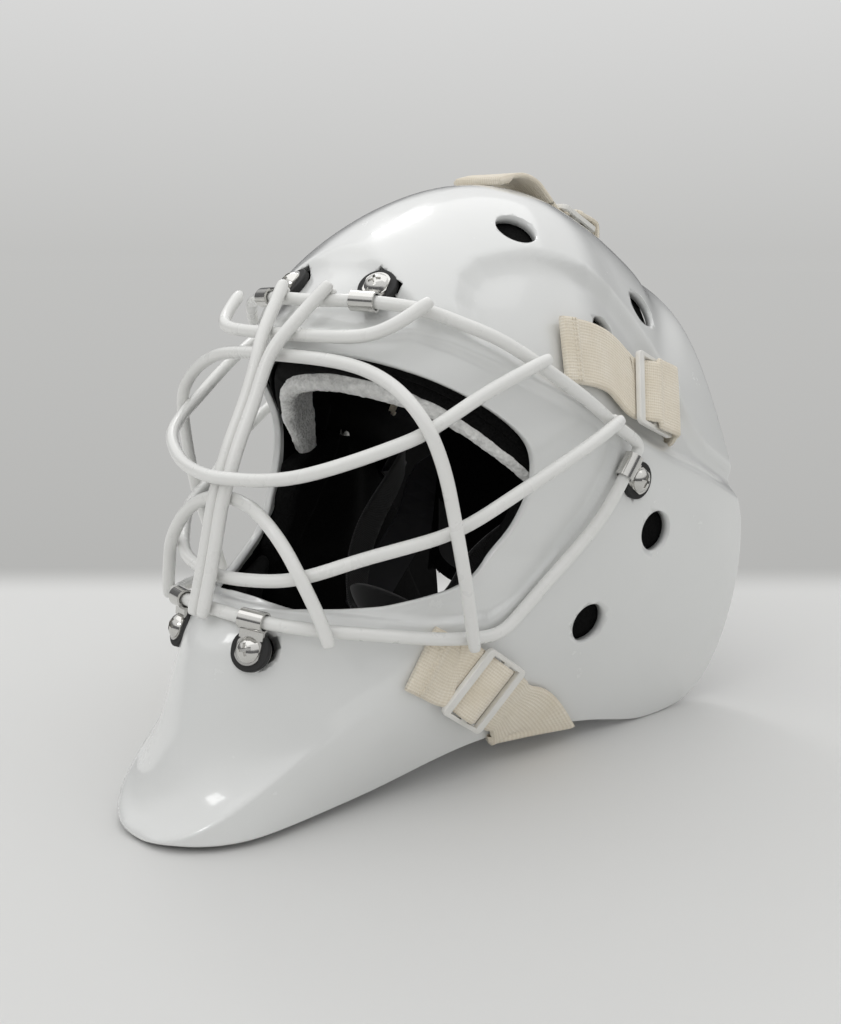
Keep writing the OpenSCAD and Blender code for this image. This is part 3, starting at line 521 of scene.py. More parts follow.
def relief(c):
    """Height of the moulded relief over the smooth skin."""
    height = -PANEL_SINK * fall(ridge.right(c), PANEL_BLEND) * ease(panel.right(c) / PANEL_FOOT)
    ends = ease((c.y - POCKET_LOW) / POCKET_LOW_FADE), ease((-c.x - POCKET_BACK) / POCKET_BACK_FADE)
    height -= POCKET_SINK * fall(-pocket.right(c), POCKET_BLEND) * ends[0] * ends[1]
    return height - LEDGE_STEP * fall(ledge.right(c), LEDGE_BLEND)


def raised(v, height):
    return smooth_point(v) + ball_normal(v) * (relief(side_view(v)) + height)


def above(y, z, height):
    v = ball(y, z)
    return smooth_point(v) + ball_normal(v) * (relief(Vector((y, z))) + height)


def skin_normal(y, z):
    return ball_normal(ball(y, z))


OPENING = points(OPENING_EDGE)
RIM = points(REAR_RIM)


def strip(t, s):
    a = ball(*along(OPENING, abs(t)))
    b = ball(*along(RIM, abs(t)))
    v = (a * (1 - s) + b * s).normalized()
    return Vector((0, v.y, v.z)).normalized() if t == 0 or abs(t) == 1 else v


def on_side(t, p):
    """The point p on the left, or its mirror image on the right, where t is below 0."""
    return Vector((-p.x, p.y, p.z)) if t < 0 else p


def inside(t, s, depth):
    return on_side(t, raised(strip(t, s), -depth))


# Making pieces
def piece(name, bm, finish, body, replaced=()):
    """A finished piece from a mesh drawn in millimetres."""
    mesh = bpy.data.meshes.new(name)
    bm.to_mesh(mesh)
    bm.free()
    made = bpy.data.objects.new(name, mesh)
    scene.collection.objects.link(made)
    mesh.transform(Matrix.Scale(MM, 4))
    for polygon in mesh.polygons:
        polygon.use_smooth = True
    mesh.materials.append(FINISHES[finish].material)
    if body:
        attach(made, body)
    if replaced:
        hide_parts(*replaced)
    return made


def modify(made, kind, **settings):
    modifier = made.modifiers.new(kind.lower(), kind)
    for name, value in settings.items():
        setattr(modifier, name, value)
    return modifier


def apply_modifiers(made):
    """The piece's own mesh becomes what its modifiers make of it."""
    graph = bpy.context.evaluated_depsgraph_get()
    mesh = bpy.data.meshes.new_from_object(made.evaluated_get(graph))
    made.modifiers.clear()
    made.data = mesh


def stand(p, a, n):
    """A place with its origin at p, x along a, and z along n as nearly as it can."""
    x = a.normalized()
    z = (n - x * n.dot(x)).normalized()
    y = z.cross(x)
    m = Matrix((x, y, z)).transposed().to_4x4()
    m.translation = p
    return m


def mirrored(bm):
    bmesh.ops.scale(bm, vec=(-1, 1, 1), verts=bm.verts)
    bmesh.ops.reverse_faces(bm, faces=bm.faces)
    return bm


def handed(side, bm):
    """A mesh drawn for the left, mirrored where the side is below 0."""
    return mirrored(bm) if side < 0 else bm


# Shell
STATIONS = 400
ROWS = 150
SPAN_STEPS = 12
EDGE_RADIUS = 1.7
EDGE_STEPS = 5
EXACT_ROWS = EDGE_STEPS + 4
WHITE_MARGIN = 9
MASK_MIDDLE = Vector((0, 40, 150))
VENTS = [(82, 112), (44, 69), (29, 262), (110, 222), (61, 213)]
CLIP_SEATS = [(-42, 237), (-117, 81), (64, 141)]
WASHER_RADIUS = 9.5
SEAT_DEPTH = 0.6
SEAT_CLEARANCE = 0.4
UPPER_SLOT = (107.5, 171.5)
UPPER_LEAD = Vector((9, -3))
TOP_SLOT = (153.5, 250)
SLOT_SIZE = (35, 8.7)
SLOT_CUT = 30
SCREW_HOLE = 3.5
CUT_BELOW = -14
CUT_ABOVE = 8
VENT_CUT_ABOVE = 9


def lead_way(c, lead):
    """The way over the skin at c, along a lead in the side view."""
    ahead = above(c[0] + lead[0], c[1] + lead[1], 0)
    behind = above(c[0] - lead[0], c[1] - lead[1], 0)
    return (ahead - behind).normalized()


def across_way(c, lead):
    return skin_normal(*c).cross(lead_way(c, lead)).normalized()


def station(w):
    """Stations lie closest together by the mask's middle, over the crown and under the chin."""
    return math.copysign((1 - math.cos(math.pi * abs(w))) / 2, w)


def edge_rows(span):
    """Shares of the way over a wall of this span, close together on its rounded edges."""
    turn = [EDGE_RADIUS * (1 - math.cos(math.pi / 2 * k / EDGE_STEPS)) / span for k in range(EDGE_STEPS)]
    middle = ROWS - 2 * EDGE_STEPS
    low = EDGE_RADIUS / span
    even = [low + (1 - 2 * low) * k / middle for k in range(middle + 1)]
    return turn + even + [1 - k for k in reversed(turn)]


def edge_drop(distance):
    """How far a rounded edge lies under the face that it ends."""
    rest = EDGE_RADIUS - min(max(distance, 0), EDGE_RADIUS)
    return EDGE_RADIUS - math.sqrt(EDGE_RADIUS ** 2 - rest ** 2)


def add_twin(bm, far):
    """A second skin, with each vertex's copy at its far place."""
    copied = bmesh.ops.duplicate(bm, geom=bm.verts[:] + bm.edges[:] + bm.faces[:])
    for vertex, co in far.items():
        copied["vert_map"][vertex].co = co
    faces = [g for g in copied["geom"] if isinstance(g, bmesh.types.BMFace)]
    bmesh.ops.reverse_faces(bm, faces=faces)


def shell_bm():
    """The wall: one moulded skin outside, one inside it, and rounded edges between them."""
    bm = bmesh.new()
    bmesh.ops.create_grid(bm, x_segments=STATIONS, y_segments=ROWS, size=1)
    spans = {}
    heights, drops, normals = {}, {}, {}
    white = set()
    for vertex in bm.verts:
        k = round((vertex.co.x + 1) * STATIONS / 2)
        j = round((vertex.co.y + 1) * ROWS / 2)
        t = station(2 * k / STATIONS - 1)
        if k not in spans:
            path = [smooth_point(strip(t, i / SPAN_STEPS)) for i in range(SPAN_STEPS + 1)]
            span = sum((b - a).length for a, b in zip(path, path[1:]))
            spans[k] = (span, edge_rows(span))
        span, rows = spans[k]
        v = strip(t, rows[j])
        p = smooth_point(v)
        heights[vertex] = relief(side_view(v))
        drops[vertex] = edge_drop(min(rows[j], 1 - rows[j]) * span)
        vertex.co = on_side(t, p)
        if rows[j] * span < WHITE_MARGIN:
            white.add(vertex)
        if min(j, ROWS - j) < EXACT_ROWS:
            normals[vertex] = on_side(t, ball_normal(v))
    bmesh.ops.remove_doubles(bm, verts=bm.verts, dist=0.002)
    bmesh.ops.recalc_face_normals(bm, faces=bm.faces)
    bm.normal_update()
    first = next(iter(bm.faces))
    if first.normal.dot(first.calc_center_median() - MASK_MIDDLE) < 0:
        bmesh.ops.reverse_faces(bm, faces=bm.faces)
        bm.normal_update()
    normals = {v: normals.get(v, v.normal) for v in bm.verts}
    near = {v: v.co + normals[v] * (heights[v] - drops[v]) for v in bm.verts}
    far = {v: v.co + normals[v] * (heights[v] + drops[v] - WALL) for v in bm.verts}
    outside = bm.faces[:]
    for face in outside:
        face.material_index = 0 if all(v in white for v in face.verts) else 1
    for v, co in near.items():
        v.co = co
    add_twin(bm, far)
    for face in outside:
        face.material_index = 0
    edges = [e for e in bm.edges if e.is_boundary]
    loops = []
    while edges:
        loop, front = set(), [edges[0]]
        while front:
            e = front.pop()
            if e in loop:
                continue
            loop.add(e)
            front += [n for v in e.verts for n in v.link_edges if n.is_boundary and n not in loop]
        loops.append(loop)
        edges = [e for e in edges if e not in loop]
    loops.sort(key=lambda loop: sum(v.co.y for e in loop for v in e.verts) / len(loop))
    for pair in (loops[:2], loops[2:]):
        bmesh.ops.bridge_loops(bm, edges=list(pair[0]) + list(pair[1]))
    return bm


def cutter_bm(stage):
    """What is cut out of the shell's wall: first the vents and seats, then the screws' holes."""
    bm = bmesh.new()

    def drill(m, radius, low, high, sides=64):
        matrix = m @ Matrix.Translation((0, 0, (low + high) / 2))
        bmesh.ops.create_cone(bm, cap_ends=True, segments=sides, radius1=radius, radius2=radius,
                              depth=high - low, matrix=matrix)

    def slot_box(m):
        size = Matrix.Diagonal((*SLOT_SIZE, SLOT_CUT, 1))
        bmesh.ops.create_cube(bm, size=1, matrix=m @ size)

    for side in (Matrix.Identity(4), Matrix.Scale(-1, 4, Vector((1, 0, 0)))):
        for c in CLIP_SEATS:
            at = side @ stand(above(*c, 0), Vector((0, 1, 0)), skin_normal(*c))
            if stage == 0:
                drill(at, WASHER_RADIUS + SEAT_CLEARANCE, -SEAT_DEPTH, CUT_ABOVE)
            else:
                drill(at, SCREW_HOLE, CUT_BELOW, CUT_ABOVE, 32)
        if stage == 0:
            for c in VENTS:
                at = side @ stand(above(*c, 0), Vector((0, 1, 0)), skin_normal(*c))
                drill(at, VENT_RADIUS, CUT_BELOW, VENT_CUT_ABOVE)
            slot_box(side @ stand(above(*UPPER_SLOT, 0), across_way(UPPER_SLOT, UPPER_LEAD),
                                  skin_normal(*UPPER_SLOT)))
    if stage == 0:
        top = crest(*TOP_SLOT)
        slot_box(stand(raised(top, 0), Vector((1, 0, 0)), ball_normal(top)))
    bmesh.ops.recalc_face_normals(bm, faces=bm.faces)
    return bm


def make_shell():
    made = piece("mask_shell", shell_bm(), "shell_white", "mask", ["shell"])
    made.data.materials.append(FINISHES["dark_lining"].material)
    cutters = [piece("cutter", cutter_bm(stage), "shell_white", "mask") for stage in (0, 1)]
    for cutter in cutters:
        modify(made, "BOOLEAN", operation="DIFFERENCE", solver="EXACT").object = cutter
    apply_modifiers(made)
    for cutter in cutters:
        bpy.data.objects.remove(cutter)


make_shell()


# Cage
WIRES = ["perimeter_wire", "forehead_wire", "centre_bar_left", "centre_bar_right", "eye_arch_wire",
         "upper_cross_wire", "lower_cross_wire", "mouth_arch_wire"]
WIRE_RADIUS = 3
SUBDIVISION_LOSS = 0.15
ANY_ANGLE = 3.1


def merged_copy(node):
    """A node's mesh in millimetres, with its loose triangles joined."""
    bm = bmesh.new()
    bm.from_mesh(NODES[node].data)
    bmesh.ops.scale(bm, vec=(1 / MM,) * 3, verts=bm.verts)
    bmesh.ops.remove_doubles(bm, verts=bm.verts, dist=0.005)
    return bm


def round_wire(node):
    """A CAD wire's mesh, grown by what subdivision takes off it, and made round."""
    bm = merged_copy(node)
    bmesh.ops.join_triangles(bm, faces=bm.faces, angle_face_threshold=ANY_ANGLE,
                             angle_shape_threshold=ANY_ANGLE)
    bm.normal_update()
    grown = {v: v.normal * (WIRE_RADIUS * SUBDIVISION_LOSS) for v in bm.verts}
    for v, d in grown.items():
        v.co += d
    made = piece("round_" + node, bm, "wire_coat", "mask", [node])
    modify(made, "SUBSURF", levels=2, render_levels=2)
    modify(made, "SMOOTH", factor=0.5, iterations=12)


for wire in WIRES:
    round_wire(wire)

# Ribbons: straps, the sling and the terry band
RIBBON_SAMPLES = 400
WAY_STEP = 1 / 16


class Ribbon:
    """A strap's middle line through stops of (point, across) or (point, across, slant)."""

    def __init__(self, stops):
        self.points = [Vector(s[0]) for s in stops]
        self.ways = [Vector(s[1]) for s in stops]
        self.slants = [Vector((s[2], 1)) if len(s) > 2 else Vector((1, 0)) for s in stops]
        samples = [along(self.points, k / RIBBON_SAMPLES) for k in range(RIBBON_SAMPLES + 1)]
        self.lengths = [0]
        for a, b in zip(samples, samples[1:]):
            self.lengths.append(self.lengths[-1] + (b - a).length)

    def length(self):
        return self.lengths[-1]

    def travelled(self, share):
        return self.lengths[round(min(max(share, 0), 1) * RIBBON_SAMPLES)]

    def share(self, length):
        return bisect.bisect(self.lengths, length) / RIBBON_SAMPLES

    def frame(self, share):
        """The point, and the ways along, across and off the strap."""
        step = WAY_STEP / len(self.points)
        p = along(self.points, share)
        d = (along(self.points, share + step) - along(self.points, share - step)).normalized()
        given = along(self.ways, share)
        square = (given - d * given.dot(d)).normalized()
        slant, kept = along(self.slants, share)
        a = square.lerp(given, min(max(kept, 0), 1)) * slant
        return p, d, a, d.cross(a).normalized()


def section(q, width, thick):
    """A point round a ribbon's section: across it, and off its middle."""
    flat, arc = width - thick, math.pi * thick / 2
    d = (q % 1) * 2 * (flat + arc)
    side = 1 if d < flat + arc else -1
    d = d if side == 1 else d - flat - arc
    if d < flat:
        return side * (d - flat / 2), side * thick / 2
    turn = 2 * (d - flat) / thick
    return side * (flat / 2 + math.sin(turn) * thick / 2), side * math.cos(turn) * thick / 2


HEM_SWELL = 0.7
HEM_FADE = 2.5
END_ROUND = 1.2
RIPPLE_LENGTH = 17
RIPPLE_WIDTH = 26
RIPPLE_DRIFT = 90
CURL_SIZE = 1.9
TUFT_SIZE = 5


def ribbon_bm(ribbon, width, thick, steps, around=44, hem=0, wave=0.25, pile=0, grow=None):
    """A woven ribbon with rounded edges, whose UV map follows it."""
    bm = bmesh.new()
    bmesh.ops.create_grid(bm, x_segments=around, y_segments=steps, size=1)
    facts = {}
    for vertex in bm.verts:
        q, share = (vertex.co.x + 1) / 2, (vertex.co.y + 1) / 2
        length = ribbon.travelled(share)
        p, d, a, n = ribbon.frame(share)
        scale = 1 + HEM_SWELL * (1 - ease((length - hem) / HEM_FADE)) if hem else 1
        end = min(length, ribbon.length() - length)
        arc = math.sqrt(max(0, 1 - (1 - end / END_ROUND) ** 2))
        round_end = 1 if end > END_ROUND else 0.55 + 0.45 * arc
        wide = width * (grow(share) if grow else 1)
        x, z = section(q, wide, thick * scale * round_end)
        ripple = noise.noise(Vector((length / RIPPLE_LENGTH, x / RIPPLE_WIDTH, p.x / RIPPLE_DRIFT))) * wave
        z += ripple + (thick * (scale - 1) / 2 if hem else 0)
        if pile:
            curl = noise.noise(Vector((length / CURL_SIZE, x / CURL_SIZE, z / CURL_SIZE))) * 0.6
            curl += noise.noise(Vector((length / TUFT_SIZE, x / TUFT_SIZE, z / TUFT_SIZE))) * 0.7
            z += pile * curl * (1 if z > 0 else -1)
            x += pile * curl * (0.6 if x > 0 else -0.6) * (abs(x) / wide * 2) ** 6
        facts[vertex] = (x / UV_SCALE, length / UV_SCALE)
        vertex.co = p + a * x + n * z
    bmesh.ops.remove_doubles(bm, verts=bm.verts, dist=0.0005)
    bmesh.ops.holes_fill(bm, edges=[e for e in bm.edges if e.is_boundary], sides=0)
    bmesh.ops.recalc_face_normals(bm, faces=bm.faces)
    cloth = bm.loops.layers.uv.new("cloth")
    for face in bm.faces:
        for loop in face.loops:
            loop[cloth].uv = facts[loop.vert]
    return bm


STRAP_WIDTH = 32
STRAP_THICK = 2.2
SLIDE_THICK = 2.6
BAR_WIDTH = 5
BAR_GAP = 9.5
BAR_PITCH = BAR_WIDTH + BAR_GAP
BAR_MARGIN = 2
WEAVE_GAP = 0.6
WEAVE = SLIDE_THICK / 2 + STRAP_THICK / 2 + WEAVE_GAP


def skin_slide(c, lead, height):
    x, n = lead_way(c, lead), skin_normal(*c)
    return above(*c, height), x, (n - x * n.dot(x)).normalized()


# Stops on a slide: how far along it, and how far off it in weaves
TO_MIDDLE_BAR = [(-BAR_PITCH - BAR_WIDTH / 2 - BAR_MARGIN, -1), (-BAR_PITCH, -1),
                 (-BAR_PITCH + BAR_WIDTH / 2, -1), (-BAR_WIDTH / 2, 1), (BAR_WIDTH / 2, 1)]
UNDER_LAST_BAR = [(BAR_PITCH - BAR_WIDTH / 2, -1), (BAR_PITCH, -1),
                  (BAR_PITCH + BAR_WIDTH / 2 + BAR_MARGIN, -1)]
OVER_LAST_BAR = [(BAR_PITCH - BAR_WIDTH / 2, 1.35), (BAR_PITCH + BAR_WIDTH / 2 - 0.5, 1.3),
                 (BAR_PITCH + BAR_WIDTH / 2 + 2.2, 0.2)]


def woven(frame, last=UNDER_LAST_BAR):
    """A strap's way through a slide: under the first bar, over the second, and under the last or over it."""
    at, x, z = frame
    return [(at + x * u + z * (off * WEAVE), z.cross(x)) for u, off in TO_MIDDLE_BAR + last]


def skin_stops(rows, lead):
    return [(above(y, z, height), across_way((y, z), lead)) for y, z, height in rows]


def crest_stops(rows):
    return [(raised(crest(y, z), height), Vector((1, 0, 0))) for y, z, height in rows]


TAIL_LEAD = (9, -3)
JAW_LEAD = (8, -5.7)
UPPER_SLIDE = ((84.5, 180.5), (9, -3.4), 7)
LOWER_SLIDE = ((-23.5, 51), JAW_LEAD, 5.4)
upper_stops = (skin_stops([(18, 207.5, 3.2), (30, 206, 2.8), (43, 203, 2.8), (54, 198, 3)], TAIL_LEAD)
               + woven(skin_slide(*UPPER_SLIDE), OVER_LAST_BAR)
               + skin_stops([(106, 172, 2), (107.5, 171.5, -1), (107.5, 171.5, -4), (107.5, 171.5, -8)],
                            UPPER_LEAD))

# The lower strap turns under the jaw's rim
RIM_TURN = 0.752
RIM_SLANT = 1.75
RIM_GAP = 1.6
RIM_OFF = STRAP_THICK / 2 + RIM_GAP
RIM_NEAR = 0.04
rim_normal = ball_normal(strip(RIM_TURN, 1))
rim_back = (inside(RIM_TURN - RIM_NEAR, 1, 0) - inside(RIM_TURN + RIM_NEAR, 1, 0)).normalized()
rim_down = rim_back.cross(rim_normal).normalized()


def rim_stop(off, below, back):
    """A stop at the rim: off the outer skin, below the rim, and rearwards."""
    return inside(RIM_TURN, 1, -off) + rim_down * below + rim_back * back, rim_back, RIM_SLANT


lower_stops = (skin_stops([(-57.7, 72.7, 1.8), (-50, 67.5, 1.9), (-43.5, 63, 2.2)], JAW_LEAD)
               + woven(skin_slide(*LOWER_SLIDE)) + skin_stops([(-3, 36.5, 2.8), (4, 31, 2.4)], JAW_LEAD)
               + [rim_stop(RIM_OFF, -3, -3), rim_stop(RIM_OFF * 0.8, RIM_OFF * 0.7, 0),
                  rim_stop(-WALL - RIM_OFF * 0.8, RIM_OFF * 0.7, 3), rim_stop(-WALL - RIM_OFF, -3, 6)])
slide_ends = [stop[0] for stop in crest_stops([(119, 271, 4.6), (147, 256, 8.4)])]
slide_way = (slide_ends[1] - slide_ends[0]).normalized()
top_frame = ((slide_ends[0] + slide_ends[1]) / 2, slide_way, Vector((1, 0, 0)).cross(slide_way))
top_stops = (crest_stops([(65, 285, 2.6), (75, 284, 5.4), (86, 282.5, 8), (96, 279.5, 8.4), (105, 276, 5.6)])
             + woven(top_frame, OVER_LAST_BAR)
             + crest_stops([(152, 251.5, 3.5), (153.5, 250.5, 0), (153.5, 250, -4), (153.5, 250, -10)]))

HEM = 9
HEM_SEAMS = (HEM - 3.2, HEM - 1.4)
PLUSH_THICK = 2.7
LOOP_SPREAD = 0.19
LOOP_FADE = 3
SEAM_WIDTH = STRAP_WIDTH - 3
SEAM_OFF = PLUSH_THICK * 1.2 + 0.1
STITCH = 1.7
STITCH_PITCH = 2.3
STITCH_SLANT = 0.25
THREAD_RADIUS = 0.33


def stitch_row(bm, ribbon, length, off):
    """A row of stitches across a strap."""
    count = int(SEAM_WIDTH / STITCH_PITCH)
    for k in range(count + 1):
        x = (k / count - 0.5) * SEAM_WIDTH
        p, d, a, n = ribbon.frame(ribbon.share(length))
        way = a.normalized() + d * STITCH_SLANT * (1 if k % 2 else -1)
        size = Matrix.Diagonal((STITCH / 2, THREAD_RADIUS, THREAD_RADIUS, 1))
        at = stand(p + a * x + n * off, way, n) @ size
        bmesh.ops.create_uvsphere(bm, u_segments=10, v_segments=6, radius=1, matrix=at)


def make_strap(node, stops, side, steps, last, fixed, over=0):
    """A knitted strap along its stops, which is tied to no body; the stitches at its hem go with its slide.

    over is the number of stops before the slide's middle bar, on a strap that also covers its last bar.
    """
    ribbon = Ribbon(stops)
    loop_from = ribbon.travelled(over / (len(stops) - 1))

    def grow(share):
        return 1 + LOOP_SPREAD * ease((ribbon.travelled(share) - loop_from) / LOOP_FADE) if over else 1

    bm = ribbon_bm(ribbon, STRAP_WIDTH, PLUSH_THICK, steps, hem=HEM, grow=grow)
    made = piece("knitted_" + node, handed(side, bm), "elastic", None, [node])
    ends = [stops[k][0] * MM for k in (last, fixed)]
    slide_body = node.replace("strap", "slide") + "_body"
    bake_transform(made)
    seams = bmesh.new()
    for length in HEM_SEAMS:
        stitch_row(seams, ribbon, length, SEAM_OFF)
    piece("seam_" + node, handed(side, seams), "thread", slide_body)


SIDES = ((1, "left"), (-1, "right"))
for side, word in SIDES:
    make_strap("upper_strap_" + word, upper_stops, side, steps=170, last=11, fixed=12, over=7)
    make_strap("lower_strap_" + word, lower_stops, side, steps=170, last=10, fixed=12)
make_strap("top_strap", top_stops, 1, steps=190, last=12, fixed=14, over=8)


# Slides: the CAD frames with their edges broken
FLAT_ANGLE = math.radians(1.5)
SHARP_ANGLE = math.radians(35)


def bevelled(node, name, finish, body, width):
    bm = merged_copy(node)
    bmesh.ops.dissolve_limit(bm, angle_limit=FLAT_ANGLE, verts=bm.verts, edges=bm.edges)
    made = piece(name, bm, finish, body, [node])
    modify(made, "BEVEL", width=width * MM, segments=3, limit_method="ANGLE",
           angle_limit=SHARP_ANGLE, harden_normals=True)


for node in ("top_slide", "upper_slide_left", "upper_slide_right", "lower_slide_left", "lower_slide_right"):
    bevelled(node, "tri_glide_" + node, "nylon", node + "_body", 0.6)


# Liner
BAND_EDGE = [(0, -46, 196.5), (21.5, -43, 194.5), (35.5, -38, 191.5), (48, -30.5, 186.5), (59.5, -21, 178.5),
             (70, -10, 168), (78.5, 3, 154.5), (84, 14.5, 141)]
BAND_WAYS = [(0, 0.35, 0.94), (-0.05, 0.35, 0.94), (-0.15, 0.3, 0.95), (-0.2, 0.2, 0.96)]
BAND_WIDTH = 40
BAND_TAPER = 31
TAPER_FROM = 0.45
TAPER_SPAN = 0.55
BAND_STOPS = 10
BAND_NUDGE = 0.02
BAND_DROP = Vector((0, 7, -10))
CORE_DROP = Vector((0, 3, -4))
CORE_WIDTH = BAND_WIDTH - 6
CORE_THICK = 12
TERRY_THICK = 9
TERRY_OFF = 2.6
FRONT_ROLL = 1.5


def band_width(share):
    u = abs(2 * share - 1)
    return (BAND_WIDTH - BAND_TAPER * max(u - TAPER_FROM, 0) / TAPER_SPAN) / BAND_WIDTH


def band_stop(u, drop):
    edge, ways = points(BAND_EDGE), points(BAND_WAYS)
    p = place(*along(edge, abs(u)))
    way = along(ways, abs(u)).normalized()
    near = min(abs(u) + BAND_NUDGE, 1)
    far = 1 - 2 * BAND_NUDGE if abs(u) > 1 - BAND_NUDGE else abs(u)
    out = (place(*along(edge, near)) - place(*along(edge, far))).cross(way).normalized()
    wide = BAND_WIDTH * band_width((u + 1) / 2)
    p = p + way * (wide / 2 - FRONT_ROLL) + out * TERRY_OFF + drop
    if u < 0:
        p.x, way.x = -p.x, -way.x
    return p, way


def band(drop):
    return Ribbon([band_stop(k / BAND_STOPS, drop) for k in range(-BAND_STOPS, BAND_STOPS + 1)])


bm = ribbon_bm(band(BAND_DROP), BAND_WIDTH, TERRY_THICK, 380, around=96, wave=1.2, pile=0.75, grow=band_width)
piece("terry_roll", bm, "terry", "mask", ["sweatband"])
bm = ribbon_bm(band(CORE_DROP), CORE_WIDTH, CORE_THICK, 120, grow=band_width)
piece("foam_brow_core", bm, "black_foam", "mask")


def soft_copy(node, name, body):
    """A foam piece: the CAD solid with every edge rounded off."""
    bm = merged_copy(node)
    bmesh.ops.join_triangles(bm, faces=bm.faces, angle_face_threshold=0.6, angle_shape_threshold=0.9)
    made = piece(name, bm, "black_foam", body, [node])
    modify(made, "SUBSURF", levels=2, render_levels=2)
    return made


for node in ("forehead_pad", "jaw_pad_left", "jaw_pad_right"):
    soft_copy(node, "foam_" + node, "mask")

# Die-cut pads on the shell's inside, which thin out over the vents
PAD_GAP = 5.4
PAD_THICK = 12
PAD_THIN = 3
PAD_RIM = 0.06
PAD_EDGE = 0.25
SIDE_PAD_FRONT = 0.44
SIDE_PAD_LENGTH = 0.28
SIDE_PAD_FOOT = 0.02
SIDE_PAD_HEAD = 0.56
SIDE_PAD_THINS = 0.38
CROWN_PAD_SPAN = 0.38
CROWN_PAD_FRONT = 0.33
CROWN_PAD_LENGTH = 0.52
CROWN_PAD_THINS = 0.085


def side_pad(u, w):
    """The station, the way round and the thickness of the side pad at a share of its length and height.

    Its foot lies lowest in the middle of its length, and its head rises in two steps.
    """
    low = SIDE_PAD_FOOT + 0.04 * ease((u - 0.7) / 0.2) + 0.26 * (1 - ease(u / 0.4))
    high = SIDE_PAD_HEAD + 0.22 * ease((u - 0.12) / 0.2) + 0.15 * ease((u - 0.38) / 0.15)
    s = low + (high - low) * w
    thin = ease((s - SIDE_PAD_THINS + 0.1 * ease((u - 0.5) / 0.25)) / 0.14)
    return SIDE_PAD_FRONT + SIDE_PAD_LENGTH * u, s, PAD_THICK + (PAD_THIN - PAD_THICK) * thin


def crown_pad(u, w):
    t = CROWN_PAD_SPAN * (u - 0.5)
    s = CROWN_PAD_FRONT + CROWN_PAD_LENGTH * w
    return t, s, PAD_THICK + (PAD_THIN - PAD_THICK) * ease((abs(t) - CROWN_PAD_THINS) / 0.02)


def pad_bm(shape):
    """A pad of this shape, with rounded edges, off the inside of the shell."""
    bm = bmesh.new()
    bmesh.ops.create_grid(bm, x_segments=44, y_segments=56, size=1)
    far = {}
    for vertex in bm.verts:
        u, w = (vertex.co.x + 1) / 2, (vertex.co.y + 1) / 2
        t, s, thick = shape(u, w)
        rim = min(u, 1 - u, w, 1 - w)
        arc = math.sqrt(max(0, 1 - (1 - min(rim / PAD_RIM, 1)) ** 2))
        thick *= PAD_EDGE + (1 - PAD_EDGE) * arc
        vertex.co = inside(t, s, PAD_GAP)
        far[vertex] = inside(t, s, PAD_GAP + thick)
    bmesh.ops.recalc_face_normals(bm, faces=bm.faces)
    add_twin(bm, far)
    bmesh.ops.bridge_loops(bm, edges=[e for e in bm.edges if e.is_boundary])
    bmesh.ops.recalc_face_normals(bm, faces=bm.faces)
    return bm


for side, word in SIDES:
    bm = handed(side, pad_bm(side_pad))
    piece("foam_side_pad_" + word, bm, "black_foam", "mask", ["side_pad_" + word])
piece("foam_crown_pad", pad_bm(crown_pad), "black_foam", "mask", ["crown_pad"])

# Below a height the backplate's foam grows wider by a share of its width, and lower
PLATE_FLARE = 0.26
PLATE_DROP = 24
FLARE_BELOW = 130
FLARE_SPAN = 60
plate_foam = soft_copy("backplate_pad", "foam_backplate", "backplate")
for vertex in plate_foam.data.vertices:
    low = ease((FLARE_BELOW * MM - vertex.co.z) / (FLARE_SPAN * MM))
    vertex.co.x *= 1 + PLATE_FLARE * low
    vertex.co.z -= PLATE_DROP * MM * low
bevelled("backplate", "bent_backplate", "plate_dark", "backplate", 0.9)

# Chin sling
CUP_AXIS = Vector((0, -0.62, -0.78)).normalized()
CUP_PLACE = place(0, 14, 84)
CUP_RADIUS = 34
CUP_GAP = 0.3
SLING_WIDTH = 20
SNAP = (108, 116)
SNAP_LIFT = 0.8
SNAP_THICK = 2.4
SNAP_GAP = 0.7
SNAP_OFF = SNAP_LIFT + SNAP_THICK + STRAP_THICK / 2 + SNAP_GAP
snap_place = raised(ball(*SNAP), -WALL)
snap_inward = -skin_normal(*SNAP)
snap_way = (place(85, 100, 126) - snap_place).normalized()
snap_along = (snap_way - snap_inward * snap_way.dot(snap_inward)).normalized()
SLING_ROUTE = [((85, 100, 126), (0, 0.1, 1)), ((67, 76, 121), (0, 0, 1)), ((51, 45, 111), (0, -0.2, 1)),
               ((41, 21, 97), (0, -0.6, 0.8)), ((36, 9, 80), (0, -0.75, 0.65))]


def cup_stop(degrees):
    a = math.radians(degrees)
    way = CUP_AXIS * math.cos(a) + Vector((math.sin(a), 0, 0))
    return CUP_PLACE + way * (CUP_RADIUS + STRAP_THICK / 2 + CUP_GAP), CUP_AXIS.cross(Vector((1, 0, 0)))


sling_stops = ([(snap_place + snap_along * u + snap_inward * SNAP_OFF, snap_inward.cross(snap_along))
                for u in (-9, 0, 9)]
               + [(place(*p), Vector(way).normalized()) for p, way in SLING_ROUTE]
               + [cup_stop(degrees) for degrees in (50, 34, 18)])
for side, word in SIDES:
    bm = ribbon_bm(Ribbon(sling_stops), SLING_WIDTH, STRAP_THICK, 120, around=32)
    piece("sling_" + word, handed(side, bm), "sling", "mask", ["chin_strap_" + word])
bevelled("chin_cup", "moulded_chin_cup", "sling", "mask", 0.6)


# Welds where two wires cross
WELD_RADIUS = 1.7
WELD_GAP = 2.2
WELD_APART = 14
WELD_SQUASH = (1.25, 0.9, 0.9, 1)


